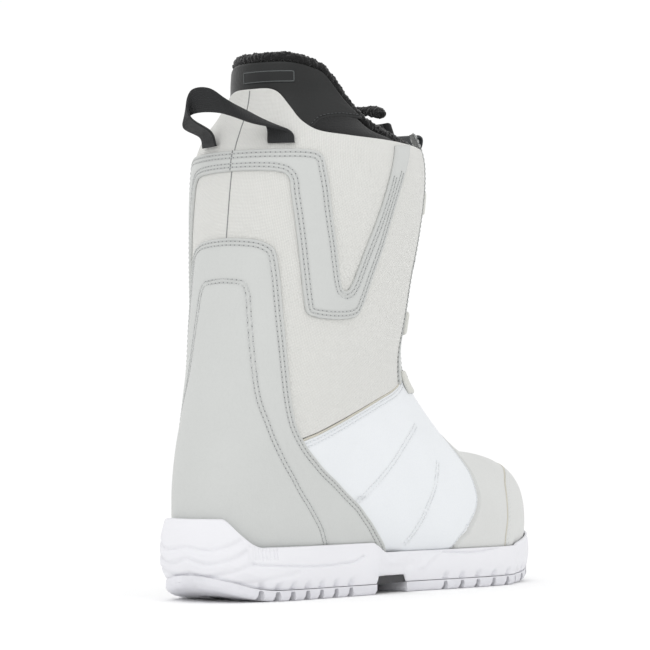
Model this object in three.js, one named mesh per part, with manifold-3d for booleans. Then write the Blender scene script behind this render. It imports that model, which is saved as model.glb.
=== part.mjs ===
// Snowboard boot for the right foot: soft shell, dial-tightened lace and a removable liner.
// Millimetres. +Z is up, the toe points along -Y, the outer (lateral) side of the foot is -X,
// and the origin is on the ground under the middle of the sole.
import * as THREE from "three";
import { mergeVertices } from "three/addons/utils/BufferGeometryUtils.js";
import Module from "manifold-3d";

const wasm = await Module();
wasm.setup();

// ---------------------------------------------------------------- driving dimensions

// The boot's skin is a family of closed sections from the toe to the top of the leg. Each spans from a
// point on the toe-instep-shin line to one on the sole-heel-calf line, both given in side view.
// [front y, front z, back y, back z, half width, share of the span where it is widest,
//  squareness of the front half, of the back half, shift of the centre towards the inner side]
const SECTIONS = [
  [-138.5, 13, -86, 12.9, 48.0, 0.06, 2.3, 2.4, 6.0], // toe, at the sole
  [-142.5, 30, -86, 13, 50.0, 0.06, 2.3, 2.4, 6.0],
  [-143.0, 47, -86, 13, 50.5, 0.08, 2.3, 2.4, 5.6],
  [-139.5, 61.5, -86, 13, 50.5, 0.1, 2.3, 2.4, 5.0],
  [-130.0, 71, -86, 13, 51.0, 0.13, 2.3, 2.4, 4.2],
  [-110.0, 75.5, -86, 13, 51.5, 0.17, 2.35, 2.5, 2.8],
  [-89.0, 77, -84, 13, 52.0, 0.2, 2.35, 2.6, 1.4], // ball of the foot
  [-70.0, 81, -66, 13, 52.0, 0.22, 2.35, 2.6, 0.5],
  [-55.0, 90, -35, 13, 49.5, 0.25, 2.3, 2.6, 0],
  [-43.5, 102, 10, 13, 46.0, 0.33, 2.25, 2.5, 0], // instep
  [-34.0, 115.5, 70, 13, 43.0, 0.42, 2.2, 2.4, 0],
  [-28.5, 125, 117, 14, 41.0, 0.48, 2.15, 2.3, 0],
  [-25.5, 132, 140.5, 27, 40.5, 0.5, 2.1, 2.2, 0], // heel
  [-23.8, 138, 144.5, 46, 41.0, 0.5, 2.1, 2.1, 0],
  [-22.6, 143, 142.5, 69, 42.0, 0.5, 2.1, 2.05, 0],
  [-21.8, 148.5, 135.5, 93, 43.5, 0.5, 2.1, 2.05, 0],
  [-21.0, 155, 128.5, 118, 45.5, 0.5, 2.1, 2.05, 0], // ankle
  [-20.8, 164, 123.5, 145, 48.5, 0.5, 2.1, 2.05, 0.4],
  [-22.2, 178, 119.5, 171, 51.5, 0.5, 2.1, 2.05, 0.8],
  [-25.5, 196, 116.0, 196, 55.0, 0.5, 2.1, 2.05, 1.2], // shin
  [-28.5, 222, 112.0, 222, 58.5, 0.5, 2.1, 2.05, 1.8],
  [-28.5, 240, 108.5, 240, 58.5, 0.5, 2.1, 2.05, 2.0],
  [-25.5, 252, 104.0, 252, 54.5, 0.5, 2.1, 2.05, 1.5],
  [-22.0, 262, 99.5, 262, 48.0, 0.5, 2.1, 2.05, 0.8], // top of the shell
  [-19.0, 273, 97.0, 273, 43.5, 0.5, 2.1, 2.05, 0.4],
  [-18.0, 284, 97.5, 284, 43.0, 0.5, 2.1, 2.05, 0],
  [-18.0, 300, 98.0, 300, 43.0, 0.5, 2.1, 2.05, 0],
];
const LAST = SECTIONS.length - 1;

// Layers of the boot as distances from the skin, outwards positive.
const SHELL = { inner: 0, outer: 1.2 };
const OVERLAY = { inner: 1.9, outer: 3.0 };
const LINING = { inner: -2.2, outer: -1.2 };
const LINER = { inner: -10.2, outer: -3.9 };
const TONGUE = { inner: -2.6, outer: 0.8 };
const LINER_TONGUE = { inner: -9.8, outer: -4 };
const GAP = 0.35;

// Sole.
const TREAD = 6; // depth of the rubber under the midsole
const FLOOR_Z = 13.5; // top of the midsole inside its rim
const FOOT_Z = 20.5; // lower edge of the upper's panels, inside the rim
const ARCH = { front: 7, back: 38, rise: 4 };
const SHANK_UNDERSIDE = 5.6;
const RIM_THICKNESS = 1.4;
const HEEL_FLARE = 4; // how much further the sole stands out at the heel than at the toe
const FOREFOOT_GROOVES = [-24, -51, -80, -107, -128]; // y of the grooves across the tread
const HEEL_GROOVES = [60, 84, 106, 126];

// Leg opening: [degrees from the back seam, height], rising again towards the back.
const FRONT_EDGE = 146; // degrees from the back seam to the shell's front edge
const RIM = [[0, 275.5], [16, 275], [22, 272.5], [29, 265], [36, 256.5], [43, 252], [60, 249.5], [90, 248.5],
  [FRONT_EDGE, 247]];
const LINER_RIM = [[0, 293], [30, 293], [45, 290], [53, 287], [64, 277], [81, 262], [105, 254.5],
  [FRONT_EDGE + 1, 251]];

// Cuff band, as matching points [degrees from the back seam, height] along its upper and lower edge.
const BAND_UPPER = [[0, 240.5], [24, 240.5], [40, 240.2], [45, 238.6], [47.4, 235], [48.6, 230], [52.7, 213],
  [58.4, 192], [64.5, 171], [66, 167], [67.6, 165.4], [70.4, 166.2], [72.2, 170.5], [76, 190], [81, 215],
  [88, 245.5]];
const BAND_LOWER = [[0, 229.3], [17, 229], [26, 228.2], [30, 226.5], [32, 223], [33, 217.5], [38, 197],
  [43, 176], [47, 159.5], [48.6, 154], [51, 151.5], [76.5, 151.4], [79.5, 154.5], [85, 181], [89.5, 213],
  [101.5, 247]];

// Dial on the tongue.
const DIAL = { z: 192, lift: 3.2, radius: 14.6, knobHeight: 6, laceHeight: 4.2 };
const LACE = { radius: 0.55, channel: 0.8, mouth: 1.2, lift: 2.85 };

// Colours.
const LIGHT_GREY = 0xd3d5d2;
const CANVAS = 0xdedbd3;
const WHITE = 0xf2f2f5;
const BLACK = 0x1c1d1f;
const DARK_GREY = 0x3a3c3e;
const STEEL = 0xb9bcc0;

// ---------------------------------------------------------------- skin

const degrees = THREE.MathUtils.degToRad;
const mix = THREE.MathUtils.lerp;
const smooth = THREE.MathUtils.smoothstep;

// Value number `column` of the sections at the running section number q, on a Catmull-Rom curve.
function sectionValue(column, q) {
  const i = Math.min(Math.floor(q), LAST - 1);
  const t = q - i;
  const [a, b, c, d] = [i - 1, i, i + 1, i + 2].map((k) => SECTIONS[Math.min(Math.max(k, 0), LAST)][column]);
  return b + 0.5 * t * (c - a + t * (2 * a - 5 * b + 4 * c - d + t * (3 * (b - c) + d - a)));
}

// Point of the skin on section q, at `angle` degrees round it: 0 is the sole, heel or calf line, 90 the
// outer side, 180 the toe, instep or shin line, 270 (or -90) the inner side.
function skinPoint(q, angle) {
  const value = Array.from({ length: 9 }, (_, column) => sectionValue(column, q));
  const [frontY, frontZ, backY, backZ, half, widest, squareFront, squareBack, shift] = value;
  const c = Math.cos(degrees(angle));
  const s = Math.sin(degrees(angle));
  const n = c < 0 ? squareFront : squareBack;
  const reach = (Math.abs(c) ** n + Math.abs(s) ** n) ** (-1 / n);
  const share = c < 0 ? widest - (1 - widest) * reach * c : widest * (1 - reach * c);
  return new THREE.Vector3(shift - half * reach * s, mix(backY, frontY, share), mix(backZ, frontZ, share));
}

// The same point, moved `lift` outwards along the skin's normal.
function skin(q, angle, lift = 0) {
  const [dq, da] = [0.02, 0.5];
  const along = skinPoint(Math.min(q + dq, LAST), angle).sub(skinPoint(Math.max(q - dq, 0), angle));
  const round = skinPoint(q, angle + da).sub(skinPoint(q, angle - da));
  return skinPoint(q, angle).addScaledVector(round.cross(along).normalize(), lift);
}

// Lowest value in [low, high] where a rising function reaches the target.
function solve(rising, target, low, high) {
  for (let i = 0; i < 40; i++) {
    const middle = (low + high) / 2;
    if (rising(middle) < target) low = middle;
    else high = middle;
  }
  return (low + high) / 2;
}

// A place on the skin is { q, angle }. Three ways to name one:
// by angle and height on the leg,
const leg = (angle, z) => ({ q: solve((q) => skinPoint(q, angle).z, z, 10, LAST), angle });

// by its side view on the outer side,
function side(y, z) {
  let best = { q: 8, angle: 90 };
  const miss = ({ q, angle }) => {
    const p = skinPoint(Math.min(Math.max(q, 0), LAST), angle);
    return Math.hypot(p.y - y, p.z - z);
  };
  for (let q = 0; q <= LAST; q += 0.5) {
    for (let angle = 10; angle < 180; angle += 10) {
      if (miss({ q, angle }) < miss(best)) best = { q, angle };
    }
  }
  for (let step = 0.5; step > 1e-4; step /= 1.6) {
    for (let turn = 0; turn < 4; turn++) {
      for (const [dq, da] of [[step, 0], [-step, 0], [0, 16 * step], [0, -16 * step]]) {
        const tried = { q: Math.min(Math.max(best.q + dq, 0), LAST), angle: best.angle + da };
        if (miss(tried) < miss(best)) best = tried;
      }
    }
  }
  return best;
}

// or by its share of the way round a level line of the foot: 0 is the toe, 1 the heel by the outer side,
// and -1 the heel by the inner side.
const levels = new Map();
function levelLine(z) {
  if (!levels.has(z)) {
    const toe = solve((q) => skinPoint(q, 180).z, z, 0, 4);
    const heel = solve((q) => skinPoint(q, 0).z, z, 10.5, 16);
    const steps = 400;
    const line = Array.from({ length: steps + 1 }, (_, i) => {
      const q = mix(toe, heel, (1 - Math.cos((Math.PI * i) / steps)) / 2);
      const angle = i === 0 ? 180 : i === steps ? 0 : solve((a) => skinPoint(q, a).z, z, 0, 180);
      return { q, angle, at: skinPoint(q, angle) };
    });
    line[0].run = 0;
    for (let i = 1; i <= steps; i++) line[i].run = line[i - 1].run + line[i].at.distanceTo(line[i - 1].at);
    levels.set(z, line);
  }
  return levels.get(z);
}

function level(share, z) {
  const line = levelLine(z);
  const run = Math.min(Math.abs(share), 1) * line.at(-1).run;
  const i = Math.max(line.findIndex((p) => p.run >= run), 1);
  const t = (run - line[i - 1].run) / (line[i].run - line[i - 1].run);
  const angle = mix(line[i - 1].angle, line[i].angle, t);
  return { q: mix(line[i - 1].q, line[i].q, t), angle: share < 0 ? -angle : angle };
}

// ---------------------------------------------------------------- solids

const material = (color, roughness, metalness = 0) =>
  new THREE.MeshStandardMaterial({ color, roughness, metalness });
const finishes = {
  leatherette: material(LIGHT_GREY, 0.55),
  canvas: material(CANVAS, 0.9),
  white_leatherette: material(WHITE, 0.5),
  sole_foam: material(WHITE, 0.6),
  rubber: material(WHITE, 0.7),
  shank: material(BLACK, 0.5),
  webbing: material(BLACK, 0.8),
  lining: material(DARK_GREY, 0.9),
  board: material(DARK_GREY, 0.8),
  liner_foam: material(BLACK, 0.9),
  fleece: material(0x101113, 1),
  label: material(DARK_GREY, 0.6),
  lace: material(DARK_GREY, 0.4),
  plastic: material(DARK_GREY, 0.4),
  dial_rubber: material(BLACK, 0.7),
  steel: material(STEEL, 0.3, 1),
};

const boot = new THREE.Group();
boot.position.set(-2, -3.8, 0); // puts the origin under the middle of the whole boot

function add(name, geometry, finish, group = boot) {
  const mesh = new THREE.Mesh(geometry, finishes[finish]);
  mesh.material.name = finish;
  mesh.name = name;
  group.add(mesh);
  return mesh;
}

function geometryOf(points, faces) {
  const geometry = new THREE.BufferGeometry().setFromPoints(points);
  geometry.setIndex(faces.flat());
  return geometry;
}

// Closed solid between two matching grids of points.
function between(outer, inner) {
  const rows = outer.length;
  const columns = outer[0].length;
  const upper = (i, j) => i * columns + j;
  const lower = (i, j) => rows * columns + upper(i, j);
  const quads = [];
  for (let i = 0; i < rows - 1; i++) {
    for (let j = 0; j < columns - 1; j++) {
      quads.push([upper(i, j), upper(i + 1, j), upper(i + 1, j + 1), upper(i, j + 1)]);
      quads.push([lower(i, j), lower(i, j + 1), lower(i + 1, j + 1), lower(i + 1, j)]);
    }
    const end = columns - 1;
    quads.push([upper(i + 1, 0), upper(i, 0), lower(i, 0), lower(i + 1, 0)]);
    quads.push([upper(i, end), upper(i + 1, end), lower(i + 1, end), lower(i, end)]);
  }
  for (let j = 0; j < columns - 1; j++) {
    const end = rows - 1;
    quads.push([upper(0, j), upper(0, j + 1), lower(0, j + 1), lower(0, j)]);
    quads.push([upper(end, j + 1), upper(end, j), lower(end, j), lower(end, j + 1)]);
  }
  const faces = quads.flatMap(([a, b, c, d]) => [[a, b, c], [a, c, d]]);
  return facingOut(geometryOf([...outer.flat(), ...inner.flat()], faces));
}

// Turns the faces round when the solid is inside out.
function facingOut(geometry) {
  const p = geometry.getAttribute("position");
  const index = geometry.index.array;
  const [a, b, c] = [new THREE.Vector3(), new THREE.Vector3(), new THREE.Vector3()];
  let volume = 0;
  for (let i = 0; i < index.length; i += 3) {
    a.fromBufferAttribute(p, index[i]);
    b.fromBufferAttribute(p, index[i + 1]);
    c.fromBufferAttribute(p, index[i + 2]);
    volume += a.dot(b.cross(c));
  }
  if (volume < 0) {
    for (let i = 0; i < index.length; i += 3) [index[i + 1], index[i + 2]] = [index[i + 2], index[i + 1]];
  }
  return geometry;
}

function solid(geometry) {
  const bare = new THREE.BufferGeometry().setAttribute("position", geometry.getAttribute("position").clone());
  if (geometry.index) bare.setIndex(geometry.index.clone());
  const merged = mergeVertices(bare, 1e-4);
  const vertProperties = merged.attributes.position.array;
  const triVerts = new Uint32Array(merged.index.array);
  return new wasm.Manifold(new wasm.Mesh({ numProp: 3, vertProperties, triVerts }));
}

function geometryFrom(made) {
  const mesh = made.getMesh();
  const geometry = new THREE.BufferGeometry();
  geometry.setAttribute("position", new THREE.BufferAttribute(new Float32Array(mesh.vertProperties), 3));
  return geometry.setIndex(new THREE.BufferAttribute(new Uint32Array(mesh.triVerts), 1));
}

const cutBy = (part, ...tools) => geometryFrom(tools.map(solid).reduce((a, b) => a.subtract(b), solid(part)));

const block = (low, high) => {
  const size = high.map((v, i) => v - low[i]);
  return new THREE.BoxGeometry(...size).translate(...low.map((v, i) => v + size[i] / 2));
};

// Round cord through points.
function tube(points, radius, sides, steps) {
  const centre = new THREE.Vector2();
  const corner = (i) => new THREE.Vector2(radius, 0).rotateAround(centre, (2 * Math.PI * i) / sides);
  const section = new THREE.Shape(Array.from({ length: sides }, (_, i) => corner(i)));
  const extrudePath = new THREE.CatmullRomCurve3(points, false, "centripetal");
  return new THREE.ExtrudeGeometry(section, { steps, bevelEnabled: false, extrudePath });
}

// ---------------------------------------------------------------- pattern lines

// Smooth line through places on the skin, as a function of 0 to 1.
function seam(places) {
  const points = places.map(({ q, angle }) => new THREE.Vector3(q * 8, angle, 0));
  const curve = new THREE.CatmullRomCurve3(points, false, "centripetal");
  return (t) => {
    const p = curve.getPoint(t);
    return { q: p.x / 8, angle: p.y };
  };
}

// Several lines end to end, each given with the share of the way where it ends.
function chain(...parts) {
  return (t) => {
    const k = parts.findIndex(([, end]) => t <= end + 1e-9);
    const start = k > 0 ? parts[k - 1][1] : 0;
    return parts[k][0]((t - start) / (parts[k][1] - start));
  };
}

const turned = ({ q, angle }) => ({ q, angle: 360 - angle });
const mirrored = (line) => (t) => turned(line(t));
const straightOn = (from, to) => (t) => ({ q: mix(from.q, to.q, t), angle: mix(from.angle, to.angle, t) });

// Line of the outer side, run back from its end and on into its mirror image over the heel or calf.
const roundTheBack = (line) => (t) => {
  const { q, angle } = line(Math.abs(2 * t - 1));
  return { q, angle: t < 0.5 ? -angle : angle };
};

// The same over the toe or shin, from the outer side to the inner side.
const overTheFront = (line) => (t) => (t <= 0.5 ? line(2 * t) : turned(line(2 - 2 * t)));

// Panel of a layer that fills the skin between two lines.
function panel(lineA, lineB, along, across, layer) {
  const places = Array.from({ length: along + 1 }, (_, i) => {
    const rung = straightOn(lineA(i / along), lineB(i / along));
    return Array.from({ length: across + 1 }, (_, j) => rung(j / across));
  });
  const grid = (lift) => places.map((row) => row.map(({ q, angle }) => skin(q, angle, lift)));
  return between(grid(layer.outer), grid(layer.inner));
}

// Height read off a list of [angle, height] pairs.
function heightAt(list, angle) {
  const k = Math.max(list.findIndex(([end]) => end >= Math.abs(angle) - 1e-9), 1);
  const [[a0, z0], [a1, z1]] = [list[k - 1], list[k]];
  return mix(z0, z1, (Math.abs(angle) - a0) / (a1 - a0));
}

const onLeg = (list) => list.map(([angle, z]) => leg(angle, z));
const bySide = (list) => list.map(([y, z]) => side(y, z));

// Front edge of the shell on the outer side, at section q: it closes in towards the throat.
const THROAT_Q = 8.35;
const frontEdge = (q) => FRONT_EDGE + 12 * (1 - smooth(q, THROAT_Q, 11.4));

// Front edge of the backstay, from the sole to its top corner.
const backstayFront = [
  ...bySide([[19, 19], [25, 25], [37, 34], [48, 43], [59.5, 52], [75, 62.5], [90, 73], [100.7, 84]]),
  ...onLeg([[53.5, 96.5], [46, 117], [38, 149], [32.5, 175], [29, 186], [24, 190]]),
];
// Joint hidden under the backstay, between the quarter and the stiff heel counter.
const hiddenJoint = bySide([[35, 19.8], [47, 30], [60, 41], [71, 49], [86, 59.5], [100, 71], [109, 81.5]]);
// Upper edge of the quarter, from that joint to the front edge.
const quarterTop = [
  ...bySide([[109, 81.5], [100.7, 84.5], [90, 88], [75.5, 93.4], [55, 100.6], [34, 107], [4, 115]]),
  { q: 11.75, angle: FRONT_EDGE },
];
// Front edge of the quarter, from the sole to the throat.
const quarterFront = [
  ...bySide([[-29, 19.6], [-35, 28], [-43.5, 34.6], [-51.6, 43.5], [-55.4, 51.2]]),
  { q: 7.62, angle: 120 },
  { q: 7.72, angle: 129 },
  { q: 8, angle: 137 },
  { q: THROAT_Q, angle: 146 },
  { q: THROAT_Q, angle: 157 },
];
// Seam between the toe cap and the toe bumper, to the middle of the toe.
const toeSeam = [
  ...bySide([[-80, 19.4]]),
  { q: 6.4, angle: 91 },
  { q: 6.2, angle: 103 },
  { q: 6, angle: 114 },
  { q: 5.6, angle: 126 },
  { q: 4.9, angle: 138 },
  { q: 4.3, angle: 150 },
  { q: 3.85, angle: 180 },
];

// ---------------------------------------------------------------- sole

const groundZ = (y) => (y < -92 ? 11 * ((-92 - y) / 58) ** 2 : 0) + (y > 112 ? 9 * ((y - 112) / 40) ** 2 : 0);

// Height of the midsole's rim: a tab up the heel, a step down at the arch, and a lifted toe.
function rimZ(x, y) {
  const heelTab = y > 80 ? 15.3 * (1 - smooth(Math.abs(x), 13, 23)) : 0;
  const arch = 5.9 * smooth(y, 27, 41);
  const toe = 8.5 * smooth(-y, 82, 146);
  return 22.8 + arch + heelTab + toe;
}

// Point round the foot at height z, pushed out in plan by `out`.
function aroundFoot(share, z, out) {
  const step = 0.004;
  const wrapped = (s) => (s > 1 ? s - 2 : s < -1 ? s + 2 : s);
  const place = (s) => {
    const { q, angle } = level(wrapped(s), z);
    return skinPoint(q, angle);
  };
  const p = place(share);
  const run = place(share + step).sub(place(share - step)).setZ(0).normalize();
  return new THREE.Vector3(p.x - run.y * out, p.y + run.x * out, z);
}

// Closed slab whose side is the rings given, from the top ring down, capped across the foot.
function stack(rings) {
  const n = rings[0].length;
  const faces = [];
  for (let r = 0; r < rings.length - 1; r++) {
    for (let i = 0; i < n; i++) {
      const [a, b] = [r * n + i, r * n + ((i + 1) % n)];
      faces.push([a, b, b + n], [a, b + n, a + n]);
    }
  }
  const cap = (start, flip) => {
    for (let i = 0; i < n / 2; i++) {
      const [a, b, c, d] = [i, i + 1, n - 1 - i, (n - i) % n].map((k) => start + k);
      const triangles = i === 0 ? [[a, b, c]] : i === n / 2 - 1 ? [[a, b, d]] : [[a, b, c], [a, c, d]];
      triangles.forEach((f) => faces.push(flip ? f : [...f].reverse()));
    }
  };
  cap(0, false);
  cap((rings.length - 1) * n, true);
  return facingOut(geometryOf(rings.flat(), faces));
}

const ringOf = (n, point) => Array.from({ length: n }, (_, i) => point(-1 + (2 * i) / n));

// Point of the rim's ring, `extra` outside the upper, which is thickest where the backstay covers it.
function rimPoint(share, extra, z) {
  const { x, y } = aroundFoot(share, 26, 0);
  const top = rimZ(x, y);
  const cover = mix(SHELL.outer, OVERLAY.outer, smooth(y, 8, 22)) + GAP + 0.4;
  const heights = [19, (19 + top) / 2, top];
  const flare = extra > 0 ? HEEL_FLARE * smooth(y, 70, 132) * Math.min(extra / 2, 1) : 0;
  const candidates = heights.map((h) => aroundFoot(share, h, cover + extra + flare));
  const away = (p) => Math.hypot(p.x, p.y * 0.4);
  const widest = candidates.reduce((a, b) => (away(b) > away(a) ? b : a));
  return widest.clone().setZ(z(y, top));
}

function addMidsole() {
  const wall = (extra, z) => ringOf(72, (share) => rimPoint(share, extra, z));
  const underside = (y) => groundZ(y) + TREAD;
  const cup = stack([
    wall(-0.2, () => FLOOR_Z),
    wall(0, (y, top) => top),
    wall(RIM_THICKNESS, (y, top) => top),
    wall(2.3, (y, top) => mix(underside(y), top, 0.62)),
    wall(2.1, (y, top) => mix(underside(y), top, 0.3)),
    wall(0.8, underside),
  ]);
  const arch = block([-80, ARCH.front, -5], [80, ARCH.back, TREAD + ARCH.rise]);
  const pocket = new THREE.CylinderGeometry(16.6, 16.6, 4, 24);
  pocket.rotateX(Math.PI / 2).translate(0, 100, FLOOR_Z - 1);
  add("midsole", cutBy(cup, arch, pocket), "sole_foam");
  const pad = new THREE.CylinderGeometry(16.2, 16.2, 2.2, 24).rotateX(Math.PI / 2);
  add("heel_crash_pad", pad.translate(0, 100, FLOOR_Z - 3 + GAP + 1.2), "dial_rubber");
  add("lasting_board", slab(FLOOR_Z + GAP, 2, -2), "board");
}

// Flat sheet across the foot.
function slab(bottom, thickness, inset) {
  const outline = ringOf(36, (share) => aroundFoot(share, 19, inset));
  const at = (z) => outline.map((p) => p.clone().setZ(z));
  return stack([at(bottom + thickness), at(bottom)]);
}

// Rubber tread between two y lines, with grooves between its lugs.
function tread(front, back, grooves) {
  const edge = (extra, z) => ringOf(60, (share) => rimPoint(share, extra, z));
  const top = edge(0.6, (y) => groundZ(y) + TREAD - GAP);
  const middle = edge(1.0, (y) => groundZ(y) + 2.4);
  const blank = stack([top, middle, edge(-1.2, groundZ)]);
  const ends = [block([-80, -400, -9], [80, front, 40]), block([-80, back, -9], [80, 400, 40])];
  const channel = block([-7, front - 1, -9], [7, back + 1, 2.6]);
  return cutBy(blank, ...ends, ...grooves.map(groove), channel);
}

// Groove across the tread, open below.
function groove(y) {
  const corners = [[-2.6, -6], [2.6, -6], [1, 3.4], [-1.2, 3.4]].map(([a, b]) => new THREE.Vector2(a, b));
  const cut = new THREE.ExtrudeGeometry(new THREE.Shape(corners), { depth: 160, bevelEnabled: false });
  return cut.rotateX(Math.PI / 2).rotateZ(Math.PI / 2).translate(-80, y, groundZ(y));
}

function addOutsole() {
  add("forefoot_outsole", tread(-400, ARCH.front, FOREFOOT_GROOVES), "rubber");
  add("heel_outsole", tread(ARCH.back, 400, HEEL_GROOVES), "rubber");
  const outline = (z) => ringOf(60, (share) => rimPoint(share, 0, () => z));
  const blank = stack([outline(TREAD + ARCH.rise - GAP), outline(SHANK_UNDERSIDE)]);
  const ahead = block([-80, -400, -9], [80, ARCH.front + GAP, 40]);
  const behind = block([-80, ARCH.back - GAP, -9], [80, 400, 40]);
  const ends = [ahead, behind];
  add("arch_shank", cutBy(blank, ...ends), "shank");
}

// ---------------------------------------------------------------- upper

// Panel wrapped round the heel: the sole edge runs to the back at the level z, and the upper edge is the
// line given, from the sole to the back.
function heelWrap(line, fromY, z, along, across, layer) {
  const shareFrom = solve((share) => aroundFoot(share, z, 0).y, fromY, 0.001, 0.999);
  const upper = (t) => line(1 - t);
  const lower = (t) => level(mix(1, shareFrom, t), z);
  return panel(roundTheBack(upper), roundTheBack(lower), along, across, layer);
}

// Panel wrapped over the toe, between a line from the outer side's sole to the middle and the sole edge.
function toeWrap(line, toY, z, along, across, layer) {
  const shareTo = solve((share) => aroundFoot(share, z, 0).y, toY, 0.001, 0.999);
  const foot = (t) => level(mix(shareTo, 0, t), z);
  return panel(overTheFront(line), overTheFront(foot), along, across, layer);
}

function addUpper() {
  const eyestay = [10.8, 9.8, 9].map((q) => ({ q, angle: frontEdge(q) }));
  const top = seam(quarterTop);
  const throatSide = seam([quarterTop.at(-1), ...eyestay, { q: THROAT_Q + 0.1, angle: 158 }]);
  const outer = chain([seam(hiddenJoint), 0.34], [top, 0.72], [throatSide, 1]);
  const inner = seam([...quarterFront]);
  const shift = (line, dq) => (t) => ({ q: line(t).q + dq, angle: line(t).angle });
  add("quarter_lateral", panel(outer, shift(inner, 0.05), 30, 5, SHELL), "white_leatherette");
  const medial = panel(mirrored(outer), mirrored(shift(inner, 0.05)), 30, 5, SHELL);
  add("quarter_medial", medial, "white_leatherette");

  // Canvas round the leg, from the quarters and the heel counter up to the rim.
  const lap = quarterTop.map(({ q, angle }) => ({ q: q + 0.1, angle }));
  const foot = seam([leg(0, 88), leg(20, 86.5), ...lap]);
  const rim = (t) => leg(FRONT_EDGE * t, heightAt(RIM, FRONT_EDGE * t));
  add("shaft_canvas", panel(roundTheBack(foot), roundTheBack(rim), 40, 9, SHELL), "canvas");
  const liningFoot = (t) => leg((FRONT_EDGE - 1) * t, 112 + 14 * smooth(t, 0.3, 1));
  const liningTop = (t) => leg((FRONT_EDGE - 1) * t, heightAt(RIM, (FRONT_EDGE - 1) * t) - 1.5);
  add("shell_lining", panel(roundTheBack(liningFoot), roundTheBack(liningTop), 30, 6, LINING), "lining");

  // Toe cap from sole to sole, the bumper at the tip of the toe, and the stiff toe box inside.
  const seamLine = [...quarterFront, { q: THROAT_Q, angle: 180 }];
  const capBack = seam(seamLine.map(({ q, angle }) => ({ q: q - 0.06, angle })));
  const capFront = seam(toeSeam);
  add("toe_cap", panel(overTheFront(capBack), overTheFront(capFront), 30, 5, SHELL), "leatherette");
  const bumperBack = shift(capFront, -0.08);
  add("toe_bumper", toeWrap(bumperBack, -80.6, FOOT_Z, 26, 5, SHELL), "leatherette");
  const boxBack = seam([
    { q: 6.2, angle: 84 },
    { q: 6.2, angle: 110 },
    { q: 6, angle: 135 },
    { q: 5.8, angle: 180 },
  ]);
  add("toe_stiffener", toeWrap(boxBack, -84, 24, 20, 4, { inner: -2.8, outer: -2.0 }), "board");
}

function addHeel() {
  const top = seam([backstayFront.at(-1), leg(19, 191.6), leg(10, 192.6), leg(0, 193)]);
  const edge = chain([seam(backstayFront), 0.84], [top, 1]);
  add("backstay", heelWrap(edge, 20, FOOT_Z, 36, 11, OVERLAY), "leatherette");
  const behind = hiddenJoint.map(({ q, angle }) => ({ q, angle: angle - 1.2 }));
  const counterTop = seam([behind.at(-1), leg(20, 85), leg(0, 86.4)]);
  const counterEdge = chain([seam(behind), 0.72], [counterTop, 1]);
  add("heel_counter", heelWrap(counterEdge, 37, FOOT_Z, 30, 8, { inner: -0.6, outer: 0.6 }), "board");
}

// Band stitched round the back of the cuff, down each side to a V and up to the front of the rim.
function addCuffBand() {
  const edges = [BAND_UPPER, BAND_LOWER].map((list) => roundTheBack(seam(onLeg(list))));
  add("cuff_band", panel(...edges, 74, 2, OVERLAY), "leatherette");
}

// ---------------------------------------------------------------- straps

// Flat strap along a path: at each stop a point and the direction of its width.
function strap(stops, width, thickness, steps) {
  const path = new THREE.CatmullRomCurve3(stops.map(([point]) => new THREE.Vector3(...point)));
  const directions = stops.map(([, direction]) => new THREE.Vector3(...direction).normalize());
  const widths = new THREE.CatmullRomCurve3(directions);
  const row = (t, lift) => {
    const here = path.getPoint(t);
    const across = widths.getPoint(t).normalize();
    const normal = path.getTangent(t).cross(across).normalize().multiplyScalar(lift * thickness);
    return [-0.5, 0, 0.5].map((w) => here.clone().addScaledVector(across, w * width).add(normal));
  };
  const grid = (lift) => Array.from({ length: steps + 1 }, (_, i) => row(i / steps, lift));
  return between(grid(0.5), grid(-0.5));
}

// Webbing loop for pulling the boot on: its feet lie on the cuff above the band and it stands off the
// calf between them.
function addPullLoop() {
  const foot = (angle, z, lift) => skin(leg(angle, z).q, angle, lift).toArray();
  const stops = [
    [foot(26, 243.5, 2.4), [-0.9, -0.42, 0]],
    [foot(23, 251, 5), [-0.86, -0.4, -0.3]],
    [[-11.5, 121, 259.5], [-0.6, -0.35, -0.72]],
    [[0, 130, 266], [-0.12, -0.5, -0.86]],
    [[12, 134.5, 265], [0.35, -0.6, -0.72]],
    [[19, 129.5, 256], [0.75, -0.55, -0.3]],
    [foot(-20, 248.5, 7), [0.86, -0.45, -0.1]],
    [foot(-19, 243.5, 2.4), [0.92, -0.38, 0]],
  ];
  add("heel_pull_loop", strap(stops, 15, 1.6, 22), "webbing");
}

function addTonguePull() {
  const stops = [
    [[-7, -31.6, 245], [1, 0, 0]],
    [[-7, -35.5, 254], [1, 0, 0]],
    [[-7.4, -42, 261], [1, 0.1, 0]],
    [[-7.8, -47.5, 260.5], [1, 0.1, 0]],
    [[-7.6, -46.5, 255], [1, 0.1, 0]],
    [[-7, -40.5, 249], [1, 0, 0]],
  ];
  add("tongue_pull_tab", strap(stops, 15, 1.5, 14), "webbing");
}

// ---------------------------------------------------------------- tongue

const TONGUE_TOP = leg(180, 254).q;
const TONGUE_FOOT = THROAT_Q + 0.28;

// Strip down the front from section q0 to q1, between an edge line and its mirror image.
function frontStrip(q0, q1, edge, along, across, layer) {
  const line = (t) => ({ q: mix(q0, q1, t), angle: edge(mix(q0, q1, t)) });
  return panel(line, mirrored(line), along, across, layer);
}

const tongueBlank = (layer) => frontStrip(TONGUE_FOOT, TONGUE_TOP, (q) => frontEdge(q) + 1.8, 20, 6, layer);

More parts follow.
